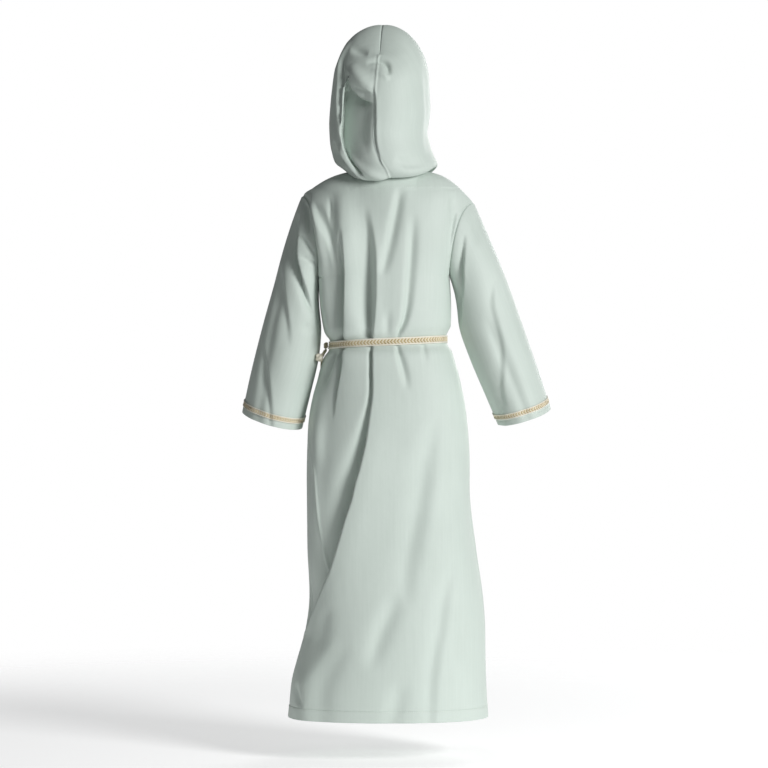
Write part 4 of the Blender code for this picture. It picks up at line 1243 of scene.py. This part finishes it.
hoodCreases = (
    # the seam's own wall
    crease(
        (25, 160, 0, 10), (23, 148, 3, 14), (22, 130, 5, 18), (22, 105, 5, 18), (22, 80, 5, 18),
        (20, 58, 4, 16), (15, 38, 3, 12), (8, 18, 0, 8),
        side=1, up=1.2, upWidth=6, sharp=1.8, power=1.4,
    ),
    # pinched ridges down the left side
    crease(
        (66, 240, 0, 3), (74, 226, -3, 3), (82, 206, -5, 2.8), (85, 170, -6, 2.6), (87, 136, -6, 2.6),
        (87, 108, -5, 2.6), (84, 80, -3, 2.8), (80, 60, 0, 3),
    ),
    crease((78, 214, 0, 3), (80, 170, 5, 2.8), (83, 136, 5, 2.6), (84, 105, 3, 2.4), (84, 90, 0, 2.4)),
    crease((92, 190, 0, 4), (95, 150, 4, 5), (96, 110, 4, 5), (93, 70, 0, 5)),
    # bump over the hollow
    crease((64, 200, 0, 8), (58, 186, -6, 11), (46, 172, -7, 12), (34, 164, -3, 10), (26, 160, 0, 8)),
    crease(
        (69, 188, 0, 6), (67, 174, 7, 10), (61, 158, 12, 14), (50, 144, 13, 15), (39, 136, 9, 13),
        (28, 131, 0, 9),
        side=1, up=4, upWidth=9, sharp=1.8, power=1.5, over=2,
    ),
    crease((66, 224, 0, 6), (56, 223, 4, 7), (44, 220, 4, 7), (34, 217, 0, 6)),
    # tuck across the seam
    crease(
        (38, 200, 0, 4), (28, 204, 3, 4.5), (14, 205, 5, 5), (3, 199, 6, 5), (-1, 188, 4, 4),
        (-2, 180, 0, 4),
    ),
    crease((30, 190, 0, 4), (18, 187, -2, 5), (4, 178, -2, 5), (0, 170, 0, 4)),
    # rolls at the base, on the left
    crease(
        (96, 66, 0, 3.5), (92, 46, 7, 4), (84, 32, 10, 4.5), (74, 20, 11, 4.5), (62, 8, 10, 4.2),
        (50, -1, 7, 3.5), (42, -5, 0, 3),
    ),
    crease(
        (86, 62, 0, 3), (80, 43, -5, 3), (70, 28, -6, 3), (59, 15, -6, 3), (47, 3, -5, 3),
        (40, -3, 0, 3),
    ),
    crease((76, 54, 0, 4), (70, 38, 6, 4), (61, 25, 8, 4), (50, 13, 7, 4), (42, 6, 0, 4)),
    crease(
        (72, 48, 0, 6), (64, 34, -4, 6), (54, 22, -6, 7), (40, 13, -6, 7), (22, 5, -5, 7),
        (6, 0, -2, 6), (-6, -2, 0, 6),
    ),
    # right side
    crease((-62, 200, 0, 5), (-68, 165, 3, 5), (-70, 115, 3, 5), (-68, 70, 2, 5), (-74, 30, 0, 5)),
    crease((-10, 34, 0, 9), (-30, 26, 3, 9), (-55, 24, 2, 9), (-70, 30, 0, 9)),
    crease((0, 12, 0, 7), (-30, 10, -2, 7), (-60, 14, -2, 7), (-78, 20, 0, 7)),
)


def hoodShares():
    return np.concatenate([hood["seamShares"], np.linspace(hood["fineFrom"], 1, hood["fineColumns"])])


def hoodRow(section, side, shares):
    # one level of a half hood, from the centre back round to the rim
    width = section["sideX"]
    end = 180 - math.degrees(math.asin(section["rimX"] / width)) if width else hood["topEnd"]
    a = np.radians(np.concatenate([90 * shares, 90 + (end - 90) * (1 - shares[-2::-1])]))
    behind = a <= math.pi / 2 + 1e-9
    toBack = np.abs(np.cos(a)) ** cornerPower
    toRim = (np.abs(np.cos(a)) / abs(math.cos(math.radians(end)))) ** cornerPower
    backReach = (section["backY"] - section["sideY"]) * toBack
    rimReach = (section["rimY"] - section["sideY"]) * toRim
    y = section["sideY"] + np.where(behind, backReach, rimReach)
    lift = np.where(behind, np.sin(a) ** hood["liftPower"], 1.0)
    toEdge = (a - math.pi / 2) / (math.radians(end) - math.pi / 2)
    drop = np.where(behind, 0.0, np.sin(np.clip(toEdge, 0, 1) * math.pi / 2) ** 2)
    z = section["backZ"] + (section["sideZ"] - section["backZ"]) * lift
    z = z + (section["rimZ"] - section["sideZ"]) * drop
    z = z - np.where(behind & (side > 0), section["sway"] * np.sin(2 * a), 0.0)
    x = side * width * np.sin(a)
    turned = math.radians(hood["turn"]) * softStep(z / hood["turnBy"])
    turnedX = x * np.cos(turned) + y * np.sin(turned) + section["lean"]
    return np.stack([turnedX, y * np.cos(turned) - x * np.sin(turned), z], axis=-1)


def hoodGrid(hand):
    side = handSign[hand]
    shares = hoodShares()
    line = np.concatenate([neckPoint("back", shares), neckPoint("front", shares)[-2::-1]])
    line[:, 0] *= side
    toFront = softStep(np.linspace(-0.4, 1.4, len(line)))[:, None]
    out = hood["neckOut"][0] + (hood["neckOut"][1] - hood["neckOut"][0]) * toFront
    up = hood["neckUp"][0] + (hood["neckUp"][1] - hood["neckUp"][0]) * toFront
    line[-1, 0] += side * slit["halfWidth"]
    rows = [line, line + unit(line * (1, 1, 0)) * out + up * upwards]
    rows += [hoodRow(section, side, shares) for section in rowsOf(hood["columns"], hood["sections"])]
    control = np.stack(rows)
    steps = np.linalg.norm(np.diff(control, axis=0), axis=2).mean(axis=1)
    places = np.concatenate([[0], np.cumsum(steps)])
    slope = np.gradient(control, places, axis=0)
    slope[-1, :, 2] = 0.0
    slope[-1, :, 0] *= hood["topPull"]
    return hermite(places, control, slope, np.linspace(0, places[-1], hood["fineRows"] + 1))


def dressHood():
    # both halves are creased as one cloth, so that they still meet along the centre seam
    grids = {hand: hoodGrid(hand) for hand in ("left", "right")}
    centre = grids["left"].shape[1] - 1
    points = np.concatenate([grids["right"][:, :0:-1], grids["left"]], axis=1)
    middle = np.array(hood["middle"])
    behind = softStep(gridNormals(points, points - middle)[..., 1] / 0.25)
    fromSeam = fromEdge(points, 1)
    fromSeam = fromSeam - fromSeam[:, centre : centre + 1]
    fromSeam = softStep(fromSeam / hood["hollowFrom"])
    points[..., 1] += creased(points, hoodHollows, 1)[0] * behind * fromSeam
    normals = gridNormals(points, points - middle)
    normals[-1] = unit(normals[-1] * (0.0, 1.0, 1.0))
    facing = softStep(normals[..., 1] / 0.25 + 0.8)
    fromNeck = fromEdge(points, 0)
    fromTop = fromEdge(points, 0, last=True)
    fade = softStep(fromNeck / hood["neckFade"]) * softStep(fromTop / hood["topFade"])
    depth, slide = creased(points, hoodCreases, 1)
    depth = (depth * facing + uneven(points, hood["waves"])) * fade
    across = fromEdge(points, 1)
    toSeam = np.abs(across - across[:, centre : centre + 1])
    height, reach = hood["keel"]
    depth = depth + height * bell(toSeam, reach) * fade
    groove, at, reach = hood["keelGroove"]
    depth = depth - groove * bell(toSeam - at, reach) * fade
    depth = depth + turnedEdge(np.minimum(across, fromEdge(points, 1, last=True)), hood["rim"])
    depth = depth + seamDip(fromNeck)
    slide = slide * (facing * fade)[..., None]
    slide[:, centre] = 0.0
    way = sharedWay(normals, fromNeck, upwards)
    points = points + way * depth[..., None] + slide
    return {"left": points[:, centre:], "right": points[:, centre::-1]}


def addHood(hand):
    mesh = gridMesh(f"hood_{hand}", hoodPoints[hand])
    middle = np.array(hood["middle"])
    name = f"hood{hand.capitalize()}"
    return addCloth(name, mesh, lambda p: p - middle, hood["wall"], f"hood_{hand}")


def rimStitches(hand):
    # along the rim of the face opening, whose columns are the grid's last
    points = np.swapaxes(hoodPoints[hand], 0, 1)[::-1]
    normals = gridNormals(points, points - np.array(hood["middle"]))
    name = f"hood{hand.capitalize()}Stitches"
    row = stitchRow(name, fromEdge(points, 0), points, normals, stitch["rimBehind"])
    return addStitches(name, [row])


hoodPoints = dressHood()
hoods = {hand: addHood(hand) for hand in ("left", "right")}
hoodTrims = {hand: rimStitches(hand) for hand in ("left", "right")}
print("hood made")


# Braid: a woven ribbon, two edge cords, and slanted strands that meet in chevrons over its middle
braid = {
    "belt": {
        "width": 13.5, "wall": 1.3, "gap": 0.5, "pitch": 2.9, "strand": (6.2, 1.9, 1.3), "tilt": 42.0,
        "rowAt": 1.95, "cordRadius": 1.4, "cordAt": 5.3, "cutLength": 0.590,
    },
    "cuff": {
        "width": 10.0, "wall": 0.7, "gap": 0.4, "pitch": 2.4, "strand": (4.5, 1.5, 0.8), "tilt": 42.0,
        "rowAt": 1.45, "cordRadius": 0.95, "cordAt": 4.0, "cutLength": 0.366,
    },
    "end": {
        "width": 12.0, "wall": 1.3, "pitch": 2.9, "strand": (6.2, 1.8, 1.2), "tilt": 40.0,
        "rowAt": 2.0, "cordRadius": 1.05, "cordAt": 4.9,
    },
    "strandOut": 0.15,
    "beltStep": 1.5,  # degrees
    "beltHalf": 2.0,
    "cuffAbove": 16.0,
    "cuffHalf": 4.0,
}


def ovalProfile(halfWidth, halfWall, count=10, power=0.5):
    a = np.arange(count) * 2 * math.pi / count
    across = halfWidth * signedPower(np.cos(a), power)
    return np.stack([across, halfWall * signedPower(np.sin(a), power)], axis=-1)


def sweep(name, path, across, outward, profile, closed):
    ring = path[:, None] + across[:, None] * profile[None, :, :1]
    ring = ring + outward[:, None] * profile[None, :, 1:]
    ring = np.concatenate([ring, ring[:, :1]], axis=1)
    if closed:
        ring = np.concatenate([ring, ring[:1]])
    mesh = gridMesh(name, ring, closed=True)
    bm = bmesh.new()
    bm.from_mesh(mesh)
    if not closed:
        bmesh.ops.holes_fill(bm, edges=[edge for edge in bm.edges if edge.is_boundary], sides=0)
    bmesh.ops.recalc_face_normals(bm, faces=bm.faces)
    bm.to_mesh(mesh)
    bm.free()
    mesh.shade_smooth()
    return mesh


def strandMeshes(name, path, across, outward, kind, closed):
    # every other chevron is pale, the rest gold
    spec = braid[kind]
    tilt = math.radians(spec["tilt"])
    raised = spec["wall"] / 2 + braid["strandOut"]
    stations = spaced(path, (across, outward), spec["pitch"], closed)
    made = {"Gold": bmesh.new(), "Pale": bmesh.new()}
    for number, (middle, along, aside, out) in enumerate(zip(*stations)):
        shade = "Pale" if number % 2 else "Gold"
        for hand in (1, -1):
            centre = middle + aside * hand * spec["rowAt"] + out * raised
            lean = unit(along * math.cos(tilt) + aside * hand * math.sin(tilt))
            addStrand(made[shade], centre, lean, out, spec["strand"])
    return {shade: meshFrom(f"{name}{shade}", bm) for shade, bm in made.items()}


def addBraid(name, path, across, outward, kind, closed, node):
    # path is the middle line of the ribbon
    spec = braid[kind]
    profile = ovalProfile(spec["width"] / 2, spec["wall"] / 2, 12, 0.45)
    mesh = sweep(f"{name}Ribbon", path, across, outward, profile, closed)
    ribbon = addPiece(f"{name}Ribbon", mesh, threads["braidBack"], [node])
    roundCord = ovalProfile(spec["cordRadius"], spec["cordRadius"], 8, 1.0)
    cords = []
    for hand in (1, -1):
        line = path + across * hand * spec["cordAt"] + outward * (spec["wall"] / 2)
        cords.append(sweep(f"{name}Cord", line, across, outward, roundCord, closed))
    mesh = joinMeshes(f"{name}Cords", cords)
    trims = [addPiece(f"{name}Cords", mesh, threads["creamCord"])]
    for shade, mesh in strandMeshes(name, path, across, outward, kind, closed).items():
        finish = threads[f"{shade.lower()}Thread"]
        trims.append(addPiece(f"{name}Strands{shade}", mesh, finish))
    return ribbon, trims


def wrapBraid(name, kind, line, above, below, guide, node):
    # a ring of braid over a line on the cloth; above and below are the same line, a little shifted
    spec = braid[kind]
    across = unit(above - below)
    along = unit(np.roll(line, -1, axis=0) - np.roll(line, 1, axis=0))
    outward = unit(np.cross(along, across))
    outward *= np.sign(np.sum(outward * guide, axis=1, keepdims=True))
    path = line + outward * (spec["gap"] + spec["wall"] / 2)
    ribbon, trims = addBraid(name, path, across, outward, kind, True, node)
    return ribbon


def makeBelt():
    degrees = np.arange(0, 360, braid["beltStep"])
    z = beltHeight(degrees)
    line, out, _ = plainBody(degrees, z)
    above = plainBody(degrees, z + braid["beltHalf"])[0]
    below = plainBody(degrees, z - braid["beltHalf"])[0]
    return wrapBraid("belt", "belt", line, above, below, out, "belt_band")


def makeCuffBraid(hand):
    piece, _, upward = sleeves[hand]
    run, points = upward["run"], upward["points"]
    at, half = braid["cuffAbove"], braid["cuffHalf"]
    line, above, below = (lineAt(run, points, at + step) for step in (0, half, -half))
    guide = lineAt(run, upward["normals"], at)
    node = f"cuff_braid_{hand}"
    wrapBraid(f"cuff{hand.capitalize()}", "cuff", line, above, below, guide, node)


beltRibbon = makeBelt()
for hand in handSign:
    makeCuffBraid(hand)
print("belt and cuff braid made")


# Knot on the belt at the left side, a short end that turns back and a long one that hangs in front
knots = {
    "knotDegrees": 3.5,
    "knotSize": (8.0, 13.0, 12.0),
    "knotOut": 3.2,
    "tipSize": (13.0, 14.0, 16.0),
    "tipGap": 0.6,
    "tube": 0.27,
    "tighter": 0.95,
    "flatter": 0.9,
    "core": 0.62,
    "turns": {"knot": 0.4, "short": 1.3, "long": 2.2},
    "routeColumns": ("degrees", "z", "clear"),
    "short": ((4.2, -295.4, 5.4), (6.4, -299.8, 6.0), (8.6, -304.4, 7.2)),
    "long": (
        (-3, -300, 5.6), (-8, -306, 5.4), (-15, -318, 4.2), (-21, -334, 3.0), (-25, -357, 3.0),
        (-27, -387, 3.0), (-28, -420, 3.0), (-28, -452, 3.0), (-28, -484, 6.5),
    ),
    "shortSection": (7.6, 4.0),
    "endStep": 4.0,
    "longLength": 0.196,
}


def knotMesh(name, at, size, turned):
    # one strand tied in an overhand knot, drawn tight inside its three sizes
    at, size = np.array(at), np.array(size)
    t = np.arange(96) * 2 * math.pi / 96
    x = np.sin(3 * t)
    y = (np.sin(t) + 2 * np.sin(2 * t)) / 3.0
    z = (np.cos(t) - 2 * np.cos(2 * t)) / 3.0
    c, s = math.cos(turned), math.sin(turned)
    line = np.stack([x, y * c - z * s, y * s + z * c], axis=-1)
    radius = knots["tube"] * size.min() * knots["tighter"]
    path = at + line / np.abs(line).max(axis=0) * (size / 2 - radius)
    along = unit(np.roll(path, -1, axis=0) - np.roll(path, 1, axis=0))
    across = unit(np.cross(along, unit(path - at)))
    profile = ovalProfile(radius, radius * knots["flatter"], 10, 0.9)
    strand = sweep(name, path, across, np.cross(across, along), profile, True)
    core = bmesh.new()
    place = Matrix.Translation(at * mm) @ Matrix.Diagonal((*(size / 2 * knots["core"] * mm), 1.0))
    bmesh.ops.create_uvsphere(core, u_segments=16, v_segments=10, radius=1.0, matrix=place)
    return joinMeshes(name, [strand, meshFrom(f"{name}Core", core)])


def addKnot(name, at, size, turned, thread, node):
    return addPiece(name, knotMesh(name, at, size, turned), threads[thread], [node])


def endPath(route):
    # a smooth line beside the skirt through the route's places, and where its knotted tip goes
    path, outs = [], []
    for row in rowsOf(knots["routeColumns"], route):
        degrees, z = np.array(row["degrees"]), np.array(row["z"])
        outs.append(plainBody(degrees, z)[1])
        path.append(lowerBody(degrees, z) + outs[-1] * row["clear"])
    path, outs = np.array(path), np.array(outs)
    run = np.concatenate([[0], np.cumsum(np.linalg.norm(np.diff(path, axis=0), axis=1))])
    fine = np.linspace(0, run[-1], max(8, int(run[-1] / knots["endStep"])))
    smooth = hermite(run, path, np.gradient(path, run, axis=0), fine)
    out = np.stack([np.interp(fine, run, outs[:, k]) for k in range(3)], axis=-1)
    along = unit(np.gradient(smooth, axis=0))
    across = unit(np.cross(along, out))
    last = unit(path[-1] - path[-2])
    reach = 1 / np.linalg.norm(last / (np.array(knots["tipSize"]) / 2))
    return smooth, across, unit(np.cross(across, along)), path[-1] + last * (reach + knots["tipGap"])


def makeKnots():
    turns, tipSize = knots["turns"], knots["tipSize"]
    at, out, _ = plainBody(np.array(knots["knotDegrees"]), beltHeight(knots["knotDegrees"]))
    middle = at + out * (knots["knotOut"] + knots["knotSize"][0] / 2)
    addKnot("beltKnot", middle, knots["knotSize"], turns["knot"], "ropeThread", "belt_knot")
    path, across, out, tipAt = endPath(knots["short"])
    width, wall = knots["shortSection"]
    mesh = sweep("beltEndShort", path, across, out, ovalProfile(width / 2, wall / 2, 12, 0.8), False)
    addPiece("beltEndShort", mesh, threads["ropeThread"], ["belt_end_short"])
    addKnot("beltTipShort", tipAt, tipSize, turns["short"], "paleRope", "belt_tip_short")
    path, across, out, tipAt = endPath(knots["long"])
    tip = addKnot("beltTipLong", tipAt, tipSize, turns["long"], "paleRope", "belt_tip_long")
    ribbon, trims = addBraid("beltEndLong", path, across, out, "end", False, "belt_end_long")
    tuple(path[0] * mm)
    [tuple(point * mm) for point in path]


makeKnots()
print("knots and ends made")


# Studio, in metres
studio = {
    "floorZ": -1.010,
    "floorRadius": 2.4,
    "floorWhite": (0.9, 0.9, 0.9, 1.0),
    "floorGlow": (0.44, 0.44, 0.44, 1.0),
    "floorClear": (0.9, 2.2),
    "ambient": 0.145,
    "ambientColour": (0.97, 0.99, 1.0, 1.0),
    "paper": (1.0, 1.0, 1.0, 1.0),
    "lampColumns": ("name", "at", "toward", "size", "power"),
    "lamps": (
        ("key", (-2.7, 2.8, 0.9), (0, 0, -0.4), 1.6, 130.0),
        ("frontFill", (-1.8, -3.6, 0.8), (0, 0, -0.4), 2.4, 60.0),
    ),
}


def makeFloor():
    # pale paper under the robe, clear further out, where the white backdrop takes over
    bm = bmesh.new()
    place = Matrix.Translation((0, 0, studio["floorZ"]))
    bmesh.ops.create_circle(bm, cap_ends=True, segments=96, radius=studio["floorRadius"], matrix=place)
    floor = placed("floor", meshFrom("floor", bm))
    shop = Shop(bpy.data.materials.new("paleFloor"))
    at = shop.node("ShaderNodeTexCoord", output="Object")
    level = shop.node("ShaderNodeVectorMath", {0: at, 1: (1, 1, 0)}, operation="MULTIPLY")
    reach = shop.node("ShaderNodeVectorMath", {0: level}, output="Value", operation="LENGTH")
    clearFrom, clearTo = studio["floorClear"]
    inputs = {"Value": reach, "From Min": clearFrom, "From Max": clearTo}
    clear = shop.node("ShaderNodeMapRange", inputs, interpolation_type="SMOOTHSTEP")
    surface = {
        "Base Color": studio["floorWhite"],
        "Roughness": 0.9,
        "Emission Color": studio["floorGlow"],
        "Emission Strength": 1.0,
    }
    paper = shop.node("ShaderNodeBsdfPrincipled", surface)
    nothing = shop.node("ShaderNodeBsdfTransparent")
    mix = shop.node("ShaderNodeMixShader", {0: clear, 1: paper, 2: nothing})
    floor.data.materials.append(shop.finish(mix))


def addLamp(lamp):
    data = bpy.data.lights.new(lamp["name"], "AREA")
    data.shape = "DISK"
    data.size = lamp["size"]
    data.energy = lamp["power"]
    made = placed(lamp["name"], data)
    made.location = lamp["at"]
    way = Vector(lamp["toward"]) - Vector(lamp["at"])
    made.rotation_euler = way.to_track_quat("-Z", "Y").to_euler()


def makeWorld():
    # the paper behind is white to the camera, and lights the robe more weakly
    world = bpy.data.worlds.new("studioPaper")
    bpy.context.scene.world = world
    shop = Shop(world)
    seen = shop.node("ShaderNodeLightPath", output="Is Camera Ray")
    inputs = {"Color": studio["ambientColour"], "Strength": studio["ambient"]}
    dim = shop.node("ShaderNodeBackground", inputs)
    paper = shop.node("ShaderNodeBackground", {"Color": studio["paper"]})
    shop.finish(shop.node("ShaderNodeMixShader", {0: seen, 1: dim, 2: paper}), "ShaderNodeOutputWorld")


def makeCamera():
    data = bpy.data.cameras.new("camera")
    data.sensor_width = eye["sensor"]
    data.lens = eye["sensor"] * eye["distance"] / eye["across"]
    camera = placed("camera", data)
    camera.location = (eye["x"] * mm, eye["distance"] * mm, eye["z"] * mm)
    camera.rotation_euler = (math.pi / 2, 0, math.pi)
    bpy.context.scene.camera = camera


makeFloor()
for lamp in rowsOf(studio["lampColumns"], studio["lamps"]):
    addLamp(lamp)
makeWorld()
makeCamera()
bpy.context.scene.view_settings.view_transform = "Standard"
print("studio made")
